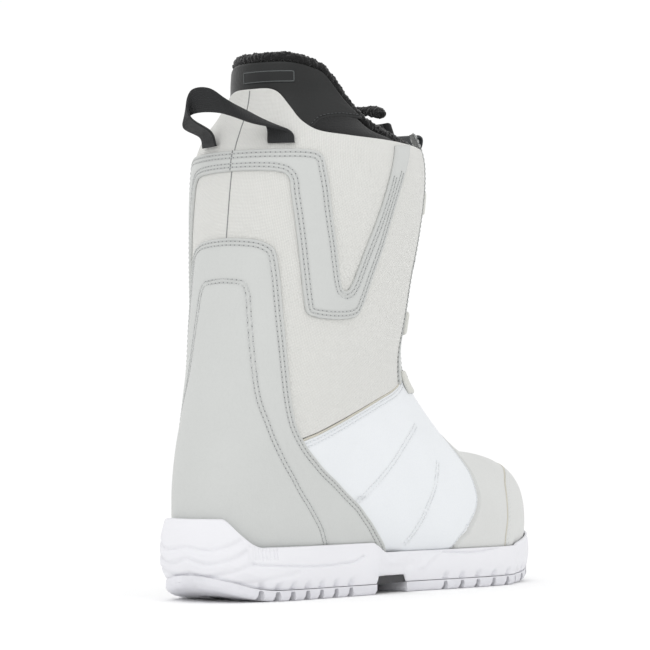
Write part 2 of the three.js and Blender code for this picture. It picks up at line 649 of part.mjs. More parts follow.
function addTongues() {
  add("shell_tongue", tongueBlank(TONGUE), "leatherette");
  const linerTop = leg(180, 268).q;
  const pad = frontStrip(TONGUE_FOOT + 0.3, linerTop, (q) => frontEdge(q) + 5.5, 16, 4, LINER_TONGUE);
  add("liner_tongue", pad, "liner_foam");
  const roll = [-1, -0.5, 0, 0.5, 1].map((t) => {
    const angle = 180 - 24 * t;
    return skin(leg(angle, 275 - 3 * t * t).q, angle, -6.7);
  });
  add("liner_tongue_roll", tube(roll, 3.6, 8, 12), "fleece");
}

// ---------------------------------------------------------------- dial

// The dial stands on the tongue with its axis square to it: z of this frame points out of the tongue.
function dialFrame() {
  const { q } = leg(180, DIAL.z);
  const at = skin(q, 180, DIAL.lift);
  const out = skin(q, 180, DIAL.lift + 1).sub(at).normalize();
  const across = new THREE.Vector3(-1, 0, 0);
  const up = out.clone().cross(across);
  return new THREE.Matrix4().makeBasis(across, up, out).setPosition(at);
}
const DIAL_FRAME = dialFrame();
const onDial = (geometry) => geometry.applyMatrix4(DIAL_FRAME);
const dialPoint = (x, y, z) => new THREE.Vector3(x, y, z).applyMatrix4(DIAL_FRAME);

// Solid of revolution about the dial's axis from [radius, height] corners.
function spun(corners, segments = 22) {
  const profile = corners.map(([radius, height]) => new THREE.Vector2(radius, height));
  return new THREE.LatheGeometry(profile, segments).rotateX(Math.PI / 2);
}
const disc = (radius, low, high, segments = 22) =>
  spun([[0, low], [radius, low], [radius, high], [0, high]], segments);
const washer = (inner, outer, low, high, segments = 22) =>
  spun([[inner, low], [outer, low], [outer, high], [inner, high], [inner, low]], segments);

function addDial() {
  const bore = 2.15;
  const saddle = onDial(disc(17, -6, 0));
  add("dial_saddle", cutBy(saddle, tongueBlank({ inner: -9, outer: TONGUE.outer + GAP })), "plastic");
  const laceHole = new THREE.CylinderGeometry(LACE.mouth, LACE.mouth, 60, 12);
  laceHole.rotateZ(Math.PI / 2).translate(0, 0, DIAL.laceHeight);
  const cup = spun([
    [bore, 0.4], [16, 0.4], [16, 6.6], [15.2, 7.4], [10.4, 7.4], [10.4, 2.4], [bore, 2.4], [bore, 0.4],
  ]);
  add("dial_base", onDial(cutBy(cup, laceHole)), "plastic");
  add("dial_axle", onDial(disc(1.8, 0.8, 14.4, 16)), "steel");
  const spool = spun([
    [bore, 2.8], [9.8, 2.8], [7.6, 3.7], [7.6, 4.7], [9.8, 5.6], [bore, 5.6], [bore, 2.8],
  ]);
  add("dial_spool", onDial(spool), "plastic");
  add("dial_pawl_disc", onDial(washer(bore, 9.6, 6, 8.6)), "plastic");
  add("dial_ratchet_ring", onDial(washer(10.6, 15, 7.75, 9.1)), "steel");
  const knob = spun([
    [8.6, 9.5], [12.9, 9.5], [12.9, 15.2], [bore, 15.2], [bore, 13], [8.6, 13], [8.6, 9.5],
  ]);
  add("dial_knob", onDial(knob), "plastic");
  const knurls = 20;
  const ring = Array.from({ length: knurls * 2 }, (_, i) => {
    const angle = (Math.PI * i) / knurls;
    const radius = DIAL.radius + (i % 2 ? 0 : 0.7);
    return new THREE.Vector2(radius * Math.cos(angle), radius * Math.sin(angle));
  });
  const outline = new THREE.Shape(ring);
  outline.holes.push(new THREE.Path().absarc(0, 0, 13.25, 0, 2 * Math.PI, true));
  const grip = new THREE.ExtrudeGeometry(outline, { depth: 5, bevelEnabled: false, curveSegments: 14 });
  add("dial_grip", onDial(grip.translate(0, 0, 9.7)), "dial_rubber");
  add("dial_cap", onDial(disc(8.4, 15.6, 16.5)), "plastic");
}

// ---------------------------------------------------------------- lace and its guides

// Turn of the lace inside a guide: in, round and out. `toward` is the side it opens to.
function laceTurn(z, mouth, bend, lift) {
  const at = (angle, height) => skin(leg(angle, height).q, angle, lift);
  const between = mix(mouth, bend, 0.72);
  return [at(mouth, z + 3.4), at(between, z + 3), at(bend, z), at(between, z - 3), at(mouth, z - 3.4)];
}

const SHELL_GUIDES = [{ name: "cuff", z: 219 }, { name: "ankle", z: 151 }, { name: "instep", z: 117 }];
const TONGUE_GUIDES = [{ name: "upper", z: 166 }, { name: "lower", z: 133 }];
const shellTurn = (z, side) => laceTurn(z, side * 145.6, side * 139.8, LACE.lift);
const tongueTurn = (z, side) => laceTurn(z, side * 170.5, side * 176.6, LACE.lift).reverse();

// Run of the lace on one side, from the dial through the guides. `side` is 1 outside, -1 inside.
function lacePath(side) {
  const exit = [dialPoint(side * 10.8, 0, DIAL.laceHeight), dialPoint(side * 17, 0, DIAL.laceHeight - 0.2)];
  const [cuff, ankle, instep] = SHELL_GUIDES.map(({ z }) => shellTurn(z, side));
  const [upper, lower] = TONGUE_GUIDES.map(({ z }) => tongueTurn(z, side).reverse());
  const runs = [cuff.reverse(), upper, ankle, lower, instep.slice(0, 3)];
  return [...exit, ...runs.flat()];
}

// Block of a guide over a patch of the skin.
function guideBlank(z, angle, halfAngle, halfHeight, layer) {
  const place = (i, j) => leg(angle + (i - 1) * halfAngle, z + (j - 2) * (halfHeight / 2));
  const grid = (lift) => [0, 1, 2].map((i) => [0, 1, 2, 3, 4].map((j) => {
    const { q, angle: a } = place(i, j);
    return skin(q, a, lift);
  }));
  return between(grid(layer.outer), grid(layer.inner));
}

function addLace() {
  const sides = [["lateral", 1], ["medial", -1]];
  for (const [sideName, side] of sides) {
    const path = lacePath(side);
    const channel = tube(path, LACE.channel, 6, 70);
    for (const { name, z } of SHELL_GUIDES) {
      const blank = guideBlank(z, side * 141.6, 3.4, 6.6, { inner: 1.45, outer: 3.8 });
      add(`${name}_guide_${sideName}`, cutBy(blank, channel), "plastic");
    }
    add(`lace_${sideName}`, tube(path, LACE.radius, 5, 70), "lace");
  }
  const channels = sides.map(([, side]) => tube(lacePath(side), LACE.channel, 6, 70));
  for (const { name, z } of TONGUE_GUIDES) {
    const blank = guideBlank(z, 180, 8.6, 6.8, { inner: 1.2, outer: 4.2 });
    add(`tongue_guide_${name}`, cutBy(blank, ...channels), "plastic");
  }
}

// ---------------------------------------------------------------- liner

const LINER_SPLIT = 140; // height where the liner's cuff meets its foot, at the back
const LINER_FOOT_Z = 24;

function addLiner() {
  const edge = FRONT_EDGE + 1;
  const rollZ = (angle) => heightAt(LINER_RIM, Math.min(angle, edge));
  const steep = (angle) => Math.hypot(1, (rollZ(angle + 3) - rollZ(Math.max(angle - 3, 0))) / 5);
  const rim = (t) => leg(edge * t, rollZ(edge * t) - 3.7 * steep(edge * t));
  const split = (t) => leg(edge * t, LINER_SPLIT + 8 * smooth(t, 0.4, 1));
  add("liner_cuff", panel(roundTheBack(split), roundTheBack(rim), 34, 7, LINER), "liner_foam");
  const roll = Array.from({ length: 45 }, (_, i) => {
    const angle = mix(-edge, edge, i / 44);
    return skin(leg(angle, heightAt(LINER_RIM, angle)).q, angle, (LINER.inner + LINER.outer) / 2);
  });
  add("liner_fleece_trim", tube(roll, 2.9, 6, 46), "fleece");

  // Vamp over the toes, and the heel part up to the cuff.
  const vampBack = seam([
    { q: 8.05, angle: 76 },
    { q: 8.1, angle: 110 },
    { q: 8.2, angle: 150 },
    { q: 8.2, angle: 180 },
  ]);
  const vampY = skinPoint(8.05, 76).y;
  add("liner_vamp", toeWrap(vampBack, vampY, LINER_FOOT_Z, 24, 6, LINER), "liner_foam");
  const below = (line, drop) => (t) => ({ q: line(t).q - drop, angle: line(t).angle });
  const throat = [
    { q: 8.3, angle: 142 },
    { q: 9.2, angle: edge + 4 },
    { q: 10.4, angle: edge + 1 },
    below(split, 0.08)(1),
  ];
  const front = seam([{ q: 8.2, angle: 76 }, { q: 8.25, angle: 105 }, ...throat]);
  const back = (t) => below(split, 0.08)(1 - t);
  const heel = heelWrap(chain([front, 0.45], [back, 1]), vampY + 1.2, LINER_FOOT_Z, 36, 6, LINER);
  add("liner_heel", heel, "liner_foam");
  add("liner_sole", slab(FLOOR_Z + 2 * GAP + 2, 2.6, -3.6), "liner_foam");
  add("footbed", slab(FLOOR_Z + 3 * GAP + 4.6, 4.4, -12), "board");

  // Leatherette badge on the collar at the back, and the woven label on the outer side.
  const patch = (a0, a1, z0, z1, layer) => {
    const edge = (z) => (t) => leg(mix(a0, a1, t), z);
    return panel(edge(z0), edge(z1), 6, 2, layer);
  };
  const badge = { inner: LINER.outer + GAP, outer: LINER.outer + 1.1 };
  add("liner_badge", patch(-12, 33, 278.3, 285.8, badge), "label");
  const label = { inner: LINER.outer + GAP, outer: LINER.outer + 0.95 };
  add("liner_woven_label", patch(85, 103, 244.5, 251, label), "label");
}

addMidsole();
addOutsole();
addUpper();
addHeel();
addCuffBand();
addPullLoop();
addTongues();
addTonguePull();
addDial();
addLace();
addLiner();

export default boot;
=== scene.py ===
"""Snowboard boot for the right foot: its looks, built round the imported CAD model.

Lengths are in millimetres until `piece` turns them into metres. A place on the boot's skin is a pair
(q, angle): q runs through SECTIONS from the toe to the top of the leg, and the angle in degrees goes
round the section, with 0 on the sole, heel or calf line, 90 on the outer side, and 180 on the toe,
instep or shin line. A line is a function from shares of its way, 0 to 1, to places.
"""
import math

import bpy
import numpy as np
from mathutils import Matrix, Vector, noise


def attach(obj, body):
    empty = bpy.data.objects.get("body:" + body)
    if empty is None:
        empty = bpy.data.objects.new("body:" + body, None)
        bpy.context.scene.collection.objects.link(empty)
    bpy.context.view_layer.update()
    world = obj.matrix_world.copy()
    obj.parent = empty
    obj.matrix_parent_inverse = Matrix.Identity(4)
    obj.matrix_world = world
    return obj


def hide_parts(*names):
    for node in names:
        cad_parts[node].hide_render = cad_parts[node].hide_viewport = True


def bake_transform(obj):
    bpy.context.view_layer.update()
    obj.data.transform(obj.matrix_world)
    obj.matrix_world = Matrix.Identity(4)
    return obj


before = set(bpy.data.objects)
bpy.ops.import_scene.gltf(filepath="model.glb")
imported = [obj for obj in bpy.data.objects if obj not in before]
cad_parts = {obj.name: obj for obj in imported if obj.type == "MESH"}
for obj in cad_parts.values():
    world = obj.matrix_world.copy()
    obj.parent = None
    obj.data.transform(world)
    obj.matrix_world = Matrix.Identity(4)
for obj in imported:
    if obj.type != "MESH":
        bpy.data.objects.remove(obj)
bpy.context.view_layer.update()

MM = 0.001
OFFSET = np.array([-2.0, -3.8, 0.0])  # puts the origin under the middle of the boot

# ---------------------------------------------------------------- driving dimensions

# Front y and z, back y and z, half width, share of the span where it is widest, squareness of the front
# half and of the back half, shift of the centre towards the inner side.
SECTIONS = np.array([
    [-138.5, 13, -86, 12.9, 48.0, 0.06, 2.3, 2.4, 6.0],  # toe, at the sole
    [-142.5, 30, -86, 13, 50.0, 0.06, 2.3, 2.4, 6.0],
    [-143.0, 47, -86, 13, 50.5, 0.08, 2.3, 2.4, 5.6],
    [-139.5, 61.5, -86, 13, 50.5, 0.1, 2.3, 2.4, 5.0],
    [-130.0, 71, -86, 13, 51.0, 0.13, 2.3, 2.4, 4.2],
    [-110.0, 75.5, -86, 13, 51.5, 0.17, 2.35, 2.5, 2.8],
    [-89.0, 77, -84, 13, 52.0, 0.2, 2.35, 2.6, 1.4],  # ball of the foot
    [-70.0, 81, -66, 13, 52.0, 0.22, 2.35, 2.6, 0.5],
    [-55.0, 90, -35, 13, 49.5, 0.25, 2.3, 2.6, 0],
    [-43.5, 102, 10, 13, 46.0, 0.33, 2.25, 2.5, 0],  # instep
    [-34.0, 115.5, 70, 13, 43.0, 0.42, 2.2, 2.4, 0],
    [-28.5, 125, 117, 14, 41.0, 0.48, 2.15, 2.3, 0],
    [-25.5, 132, 140.5, 27, 40.5, 0.5, 2.1, 2.2, 0],  # heel
    [-23.8, 138, 144.5, 46, 41.0, 0.5, 2.1, 2.1, 0],
    [-22.6, 143, 142.5, 69, 42.0, 0.5, 2.1, 2.05, 0],
    [-21.8, 148.5, 135.5, 93, 43.5, 0.5, 2.1, 2.05, 0],
    [-21.0, 155, 128.5, 118, 45.5, 0.5, 2.1, 2.05, 0],  # ankle
    [-20.8, 164, 123.5, 145, 48.5, 0.5, 2.1, 2.05, 0.4],
    [-22.2, 178, 119.5, 171, 51.5, 0.5, 2.1, 2.05, 0.8],
    [-25.5, 196, 116.0, 196, 55.0, 0.5, 2.1, 2.05, 1.2],  # shin
    [-28.5, 222, 112.0, 222, 58.5, 0.5, 2.1, 2.05, 1.8],
    [-28.5, 240, 108.5, 240, 58.5, 0.5, 2.1, 2.05, 2.0],
    [-25.5, 252, 104.0, 252, 54.5, 0.5, 2.1, 2.05, 1.5],
    [-22.0, 262, 99.5, 262, 48.0, 0.5, 2.1, 2.05, 0.8],  # top of the shell
    [-19.0, 273, 97.0, 273, 43.5, 0.5, 2.1, 2.05, 0.4],
    [-18.0, 284, 97.5, 284, 43.0, 0.5, 2.1, 2.05, 0],
    [-18.0, 300, 98.0, 300, 43.0, 0.5, 2.1, 2.05, 0],
])
LAST = len(SECTIONS) - 1

# Layers, as (inner, outer) distances from the skin. The overlay lies on the shell.
SHELL = (0.0, 1.2)
OVERLAY = (1.25, 3.0)
LINER = (-10.2, -3.9)
TONGUE = (-2.6, 0.8)
LINER_TONGUE = (-9.8, -4.0)
GAP = 0.35

# Sole.
TREAD = 6.0
FLOOR_Z = 13.5
FOOT_Z = 20.5
RIM_THICKNESS = 1.4
HEEL_FLARE = 4.0
ARCH_FRONT, ARCH_BACK, ARCH_RISE = 7.0, 38.0, 4.0
FOREFOOT_GROOVES = (-24, -51, -80, -107, -128)
HEEL_GROOVES = (60, 84, 106, 126)

# Leg opening and cuff band, as [degrees from the back, height].
FRONT_EDGE = 146
THROAT_Q = 8.35
RIM = [[0, 275.5], [16, 275], [22, 272.5], [29, 265], [36, 256.5], [43, 252], [60, 249.5], [90, 248.5],
       [FRONT_EDGE, 247]]
LINER_RIM = [[0, 293], [30, 293], [45, 290], [53, 287], [64, 277], [81, 262], [105, 254.5],
             [FRONT_EDGE + 1, 251]]
BAND_UPPER = [[0, 240.5], [24, 240.5], [40, 240.2], [45, 238.6], [47.4, 235], [48.6, 230], [52.7, 213],
              [58.4, 192], [64.5, 171], [66, 167], [67.6, 165.4], [70.4, 166.2], [72.2, 170.5],
              [76, 190], [81, 215], [88, 245.5]]
BAND_LOWER = [[0, 229.3], [17, 229], [26, 228.2], [30, 226.5], [32, 223], [33, 217.5], [38, 197],
              [43, 176], [47, 159.5], [48.6, 154], [51, 151.5], [76.5, 151.4], [79.5, 154.5],
              [85, 181], [89.5, 213], [101.5, 247]]

# Stitching.
STITCH = 2.7  # from one needle hole to the next
ROWS = (2.0, 4.1)  # rows of stitches, measured in from the edge that they hold

# Camera: how far off and how high it stands, which way it looks, and its lens.
CAMERA_DISTANCE, CAMERA_HEIGHT, CAMERA_BEARING = 1500.0, 92.0, 35.03
CAMERA_YAW, CAMERA_TILT, CAMERA_LENS = 0.633, 2.225, 145.38

# ---------------------------------------------------------------- skin


def mix(a, b, t):
    return a + (b - a) * t


def smooth(x, low, high):
    t = np.clip((np.asarray(x, float) - low) / (high - low), 0, 1)
    return t * t * (3 - 2 * t)


def section_values(q):
    q = np.clip(np.asarray(q, float), 0, LAST)
    i = np.minimum(np.floor(q).astype(int), LAST - 1)
    t = (q - i)[..., None]
    a, b, c, d = [SECTIONS[np.clip(i + k, 0, LAST)] for k in (-1, 0, 1, 2)]
    return b + 0.5 * t * (c - a + t * (2 * a - 5 * b + 4 * c - d + t * (3 * (b - c) + d - a)))


def skin_point(q, angle):
    q, angle = np.broadcast_arrays(np.asarray(q, float), np.asarray(angle, float))
    values = np.moveaxis(section_values(q), -1, 0)
    front_y, front_z, back_y, back_z, half, widest, square_front, square_back, shift = values
    c, s = np.cos(np.radians(angle)), np.sin(np.radians(angle))
    n = np.where(c < 0, square_front, square_back)
    reach = (np.abs(c) ** n + np.abs(s) ** n) ** (-1 / n)
    share = np.where(c < 0, widest - (1 - widest) * reach * c, widest * (1 - reach * c))
    x = shift - half * reach * s
    return np.stack([x, mix(back_y, front_y, share), mix(back_z, front_z, share)], -1)


def slopes(q, angle):
    """Change of the skin's point per step of q and per degree."""
    along = skin_point(np.minimum(q + 0.02, LAST), angle) - skin_point(np.maximum(q - 0.02, 0), angle)
    return along / 0.04, skin_point(q, angle + 0.5) - skin_point(q, angle - 0.5)


def unit(v):
    return v / np.maximum(np.linalg.norm(v, axis=-1, keepdims=True), 1e-9)


def normal_at(q, angle):
    along, round_ = slopes(np.asarray(q, float), np.asarray(angle, float))
    return unit(np.cross(round_, along))


def unevenness(p):
    """Slack of the sewn upper, the same for every layer, none at the sole."""
    x, y, z = p[..., 0], p[..., 1], p[..., 2]
    wide = np.sin(z / 15 + 1.6 * np.sin(y / 31) + 0.03 * x) * 0.16 + np.sin(y / 17 - z / 26 + 1) * 0.16
    crease = np.exp(-(((z - 128 + 0.28 * (y - 40)) / 9) ** 2)) * (1 - smooth(y, 40, 96)) * -0.55
    return (wide + crease) * smooth(z, 34, 70) * (1 - smooth(z, 245, 285)) * smooth(y, -18, 12)


def skin(q, angle, lift=0.0):
    base = skin_point(q, angle)
    return base + normal_at(q, angle) * (np.asarray(lift) + unevenness(base))[..., None]


def rising(function, target, low, high):
    """Where each of several rising functions reaches its target."""
    low, high = np.broadcast_arrays(low + 0.0 * target, high + 0.0 * target)
    for _ in range(40):
        middle = (low + high) / 2
        under = function(middle) < target
        low, high = np.where(under, middle, low), np.where(under, high, middle)
    return (low + high) / 2


def leg(angle, z):
    """Places at a height on the leg."""
    angle, z = np.broadcast_arrays(np.asarray(angle, float), np.asarray(z, float))
    return rising(lambda q: skin_point(q, angle)[..., 2], z, 10.0, float(LAST)), angle


def side(y, z):
    """Place on the outer side with this side view."""
    q, angle = np.meshgrid(np.arange(0, LAST + 0.1, 0.5), np.arange(10.0, 180, 5), indexing="ij")
    span = np.array([0.5, 5.0])
    for _ in range(14):
        p = skin_point(q, angle)
        k = np.argmin((p[..., 1] - y) ** 2 + (p[..., 2] - z) ** 2)
        best = q.flat[k], angle.flat[k]
        q, angle = np.meshgrid(*[b + s * np.linspace(-1, 1, 7) for b, s in zip(best, span)], indexing="ij")
        q = np.clip(q, 0, LAST)
        span = span / 2
    return best


LEVEL_STEPS = 400
_levels = {}


def level_line(z):
    """Level line of the foot on the outer side, from the toe to the heel, and its running length."""
    if z not in _levels:
        toe = rising(lambda q: skin_point(q, 180.0)[..., 2], np.array(z), 0.0, 4.0)
        heel = rising(lambda q: skin_point(q, 0.0)[..., 2], np.array(z), 10.5, 16.0)
        q = mix(toe, heel, (1 - np.cos(np.linspace(0, np.pi, LEVEL_STEPS + 1))) / 2)
        angle = rising(lambda a: skin_point(q, a)[..., 2], np.full_like(q, z), 0.0, 180.0)
        angle[0], angle[-1] = 180, 0
        run = np.linalg.norm(np.diff(skin_point(q, angle), axis=0), axis=1)
        _levels[z] = q, angle, np.append(0, np.cumsum(run))
    return _levels[z]


def level(share, z):
    """Places on the level line: 0 is the toe, 1 the heel by the outer side, -1 the heel by the inner."""
    q, angle, run = level_line(z)
    at = np.abs(share) * run[-1]
    return np.interp(at, run, q), np.where(np.asarray(share) < 0, -1, 1) * np.interp(at, run, angle)


# ---------------------------------------------------------------- lines


def seam(places):
    """Smooth line through places."""
    p = np.array([(8 * float(q), float(angle)) for q, angle in places])
    ends = np.vstack([2 * p[0] - p[1], p, 2 * p[-1] - p[-2]])
    gaps = np.maximum(np.linalg.norm(np.diff(ends, axis=0), axis=1), 1e-4) ** 0.5

    def line(t):
        s = np.clip(np.asarray(t, float), 0, 1) * (len(p) - 1)
        i = np.minimum(s.astype(int), len(p) - 2)
        f = (s - i)[..., None]
        p0, p1, p2, p3 = [ends[i + k] for k in range(4)]
        d0, d1, d2 = [gaps[i + k][..., None] for k in range(3)]
        m1 = ((p1 - p0) / d0 - (p2 - p0) / (d0 + d1) + (p2 - p1) / d1) * d1
        m2 = ((p2 - p1) / d1 - (p3 - p1) / (d1 + d2) + (p3 - p2) / d2) * d1
        a, b = 2 * (p1 - p2) + m1 + m2, 3 * (p2 - p1) - 2 * m1 - m2
        v = ((a * f + b) * f + m1) * f + p1
        return v[..., 0] / 8, v[..., 1]

    return line


def chain(*parts):
    """Lines end to end, each with the share of the way where it ends."""
    ends = [0.0] + [end for _, end in parts]

    def line(t):
        t = np.asarray(t, float)
        q, angle = np.zeros_like(t), np.zeros_like(t)
        for k, (part, end) in enumerate(parts):
            here = (t > ends[k]) & (t <= end) if k else t <= end
            q[here], angle[here] = part((t[here] - ends[k]) / (end - ends[k]))
        return q, angle

    return line


def turned(line):
    """The line's mirror image on the inner side."""
    return lambda t: (line(t)[0], 360 - line(t)[1])


def round_the_back(line):
    def there(t):
        q, angle = line(np.abs(2 * np.asarray(t, float) - 1))
        return q, np.where(np.asarray(t) < 0.5, -angle, angle)

    return there


def over_the_front(line):
    def there(t):
        t = np.asarray(t, float)
        q, angle = line(1 - np.abs(2 * t - 1))
        return q, np.where(t <= 0.5, angle, 360 - angle)

    return there


def shifted(line, dq):
    return lambda t: (line(t)[0] + dq, line(t)[1])


def backwards(line):
    return lambda t: line(1 - np.asarray(t, float))


def part_of(line, start, end):
    return lambda t: line(mix(start, end, np.asarray(t, float)))


def height_at(table, angle):
    angles, heights = zip(*table)
    return np.interp(np.abs(angle), angles, heights)


def front_edge(q):
    """Front edge of the shell on the outer side, which closes in towards the throat."""
    return FRONT_EDGE + 12 * (1 - smooth(q, THROAT_Q, 11.4))


def on_leg(table):
    return [leg(angle, z) for angle, z in table]


def by_side(table):
    return [side(y, z) for y, z in table]


BACKSTAY_FRONT = [
    *by_side([[19, 19], [25, 25], [37, 34], [48, 43], [59.5, 52], [75, 62.5], [90, 73], [100.7, 84]]),
    *on_leg([[53.5, 96.5], [46, 117], [38, 149], [32.5, 175], [29, 186], [24, 190]]),
]
HIDDEN_JOINT = by_side([[35, 19.8], [47, 30], [60, 41], [71, 49], [86, 59.5], [100, 71], [109, 81.5]])
QUARTER_TOP = [
    *by_side([[109, 81.5], [100.7, 84.5], [90, 88], [75.5, 93.4], [55, 100.6], [34, 107], [4, 115]]),
    (11.75, FRONT_EDGE),
]
QUARTER_FRONT = [
    *by_side([[-29, 19.6], [-35, 28], [-43.5, 34.6], [-51.6, 43.5], [-55.4, 51.2]]),
    (7.62, 120), (7.72, 129), (8, 137), (THROAT_Q, 146), (THROAT_Q, 157),
]
TOE_SEAM = [
    *by_side([[-80, 19.4]]),
    (6.4, 91), (6.2, 103), (6, 114), (5.6, 126), (4.9, 138), (4.3, 150), (3.85, 180),
]


def even_places(line, step, samples=1600):
    """Places a step apart along a line, and their running lengths."""
    q, angle = line(np.linspace(0, 1, samples))
    run = np.append(0, np.cumsum(np.linalg.norm(np.diff(skin_point(q, angle), axis=0), axis=1)))
    at = np.linspace(0, run[-1], max(2, int(round(run[-1] / step)) + 1))
    return np.interp(at, run, q), np.interp(at, run, angle), at


def moved_aside(q, angle, distance):
    """Places moved sideways over the skin, to the left of the way that they run, seen from outside."""
    along, round_ = slopes(q, angle)
    p = skin_point(q, angle)
    way = unit(np.gradient(p, axis=0))
    aside = unit(np.cross(normal_at(q, angle), way)) * distance
    aa, ar, rr = (along * along).sum(-1), (along * round_).sum(-1), (round_ * round_).sum(-1)
    ya, yr = (along * aside).sum(-1), (round_ * aside).sum(-1)
    bottom = np.maximum(aa * rr - ar * ar, 1e-9)
    return q + (ya * rr - yr * ar) / bottom, angle + (yr * aa - ya * ar) / bottom


def distance_to(points, path):
    """Distance from each point to a path of points, of which long ones are thinned."""
    if len(path) > 90:
        path = np.concatenate([path[:-1:3], path[-1:]])
    a, b = path[:-1], path[1:]
    ab = b - a
    size = np.maximum((ab * ab).sum(1), 1e-9)
    flat = points.reshape(-1, 3)
    out = np.empty(len(flat))
    for k in range(0, len(flat), 3000):
        ap = flat[k:k + 3000, None] - a
        t = np.clip((ap * ab).sum(2) / size, 0, 1)
        out[k:k + 3000] = np.sqrt((((ap - t[..., None] * ab) ** 2).sum(2)).min(1))
    return out.reshape(points.shape[:-1])

# ---------------------------------------------------------------- meshes


def piece(name, points, faces, material, body, slot, replaces=(), uv=None, values=None, sharp=None):
    """Makes a piece of the object from points in millimetres, facing outwards. Without a body it is left unattached.
    """
    points = np.asarray(points, float).reshape(-1, 3)
    faces = np.asarray(faces)
    a, b, c, d = [points[faces[:, k]] for k in (0, 1, 2, 3)]
    if ((a * np.cross(b, c)).sum() + (a * np.cross(c, d)).sum()) < 0:
        faces = faces[:, ::-1]
    faces = faces.tolist()
    if any(len(set(f)) < 4 for f in faces):
        faces = [list(dict.fromkeys(f)) for f in faces]
    mesh = bpy.data.meshes.new(name)
    mesh.from_pydata(((points + OFFSET) * MM).tolist(), [], faces)
    mesh.polygons.foreach_set("use_smooth", np.ones(len(mesh.polygons), bool))
    if uv is not None:
        order = np.empty(len(mesh.loops), int)
        mesh.loops.foreach_get("vertex_index", order)
        layer = mesh.uv_layers.new(name="cloth")
        layer.data.foreach_set("uv", np.asarray(uv, np.float32).reshape(-1, 2)[order].ravel())
    for key, value in (values or {}).items():
        attribute = mesh.attributes.new(key, "FLOAT", "POINT")
        attribute.data.foreach_set("value", np.asarray(value, np.float32).ravel())
    if sharp:
        mesh.set_sharp_from_angle(angle=math.radians(sharp))
    mesh.materials.append(material)
    mesh.update()
    made = bpy.data.objects.new(name, mesh)
    bpy.context.scene.collection.objects.link(made)
    if body:
        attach(made, body)
    if replaces:
        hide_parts(*replaces)
    return made


def grid_faces(rows, columns, start=0):
    i, j = np.meshgrid(np.arange(rows - 1), np.arange(columns - 1), indexing="ij")
    a = (start + i * columns + j).ravel()
    return np.stack([a, a + columns, a + columns + 1, a + 1], 1)


def closed(outer, inner):
    """Points and faces of the closed solid between two matching grids of points."""
    rows, columns = outer.shape[:2]
    size = rows * columns
    top, bottom = grid_faces(rows, columns), grid_faces(rows, columns, size)[:, ::-1]
    index = np.arange(size).reshape(rows, columns)
    border = np.concatenate([index[0], index[1:, -1], index[-1, -2::-1], index[-2:0:-1, 0]])
    ahead = np.roll(border, -1)
    wall = np.stack([border, ahead, ahead + size, border + size], 1)
    return np.concatenate([outer.reshape(-1, 3), inner.reshape(-1, 3)]), np.concatenate([top, bottom, wall])


def joined(parts):
    """Points and faces of several pairs of them together."""
    points, faces, start = [], [], 0
    for p, f in parts:
        points.append(np.asarray(p).reshape(-1, 3))
        faces.append(np.asarray(f) + start)
        start += len(points[-1])
    return np.concatenate(points), np.concatenate(faces)


def tube_parts(path, radius, sides, closed_ends=True, flat=1.0, up=None):
    """Round cord through points. The radius may change along it, and flat squashes it against `up`."""
    path = np.asarray(path, float)
    radius = np.broadcast_to(np.asarray(radius, float), len(path))
    way = unit(np.gradient(path, axis=0))
    up = np.array([0.13, 0.31, 0.94]) if up is None else np.asarray(up)
    across = unit(np.cross(way, np.broadcast_to(up, path.shape)))
    raised = np.cross(across, way)
    turn = np.linspace(0, 2 * np.pi, sides, endpoint=False)
    ring = across[:, None] * np.cos(turn)[:, None] + raised[:, None] * np.sin(turn)[:, None] * flat
    points = path[:, None] + ring * radius[:, None, None]
    n = len(path)
    i, j = np.meshgrid(np.arange(n - 1), np.arange(sides), indexing="ij")
    a, b = (i * sides + j).ravel(), (i * sides + (j + 1) % sides).ravel()
    faces = np.stack([a, b, b + sides, a + sides], 1)
    if closed_ends:
        points = np.concatenate([points.reshape(-1, 3), path[[0, -1]]])
        j = np.arange(sides)
        k = (j + 1) % sides
        first = np.stack([k, j, np.full(sides, n * sides), np.full(sides, n * sides)], 1)
        tail = (n - 1) * sides
        last = np.stack([tail + j, tail + k, np.full(sides, n * sides + 1), np.full(sides, n * sides + 1)], 1)
        faces = np.concatenate([faces, first, last])
    return points.reshape(-1, 3), faces


def smooth_path(points, count):
    """Points spread evenly on a smooth curve through the points given."""
    p = np.asarray(points, float)
    ends = np.vstack([2 * p[0] - p[1], p, 2 * p[-1] - p[-2]])
    s = np.linspace(0, len(p) - 1, 60 * len(p))
    i = np.minimum(s.astype(int), len(p) - 2)
    t = (s - i)[:, None]
    a, b, c, d = [ends[i + k] for k in range(4)]
    curve = b + 0.5 * t * (c - a + t * (2 * a - 5 * b + 4 * c - d + t * (3 * (b - c) + d - a)))
    run = np.append(0, np.cumsum(np.linalg.norm(np.diff(curve[:, :3], axis=0), axis=1)))
    at = np.linspace(0, run[-1], count)
    return np.stack([np.interp(at, run, curve[:, k]) for k in range(curve.shape[1])], 1)


def cord_uv(path, sides):
    """Turn round a tube and length along it, for each of its points and its two ends."""
    run = np.append(0, np.cumsum(np.linalg.norm(np.diff(path, axis=0), axis=1)))
    turn = np.linspace(0, 2 * np.pi, sides, endpoint=False)
    u, v = np.meshgrid(turn, run)
    return np.concatenate([np.stack([u.ravel(), v.ravel()], 1), [[0, run[0]], [0, run[-1]]]])


# ---------------------------------------------------------------- sewn panels

EDGE_STOPS = np.array([0, 0.1, 0.25, 0.45, 0.7, 1.0, 1.4, 1.8, 2.2, 2.6, 3.1, 3.6, 4.1, 4.6, 5.2, 6.0])


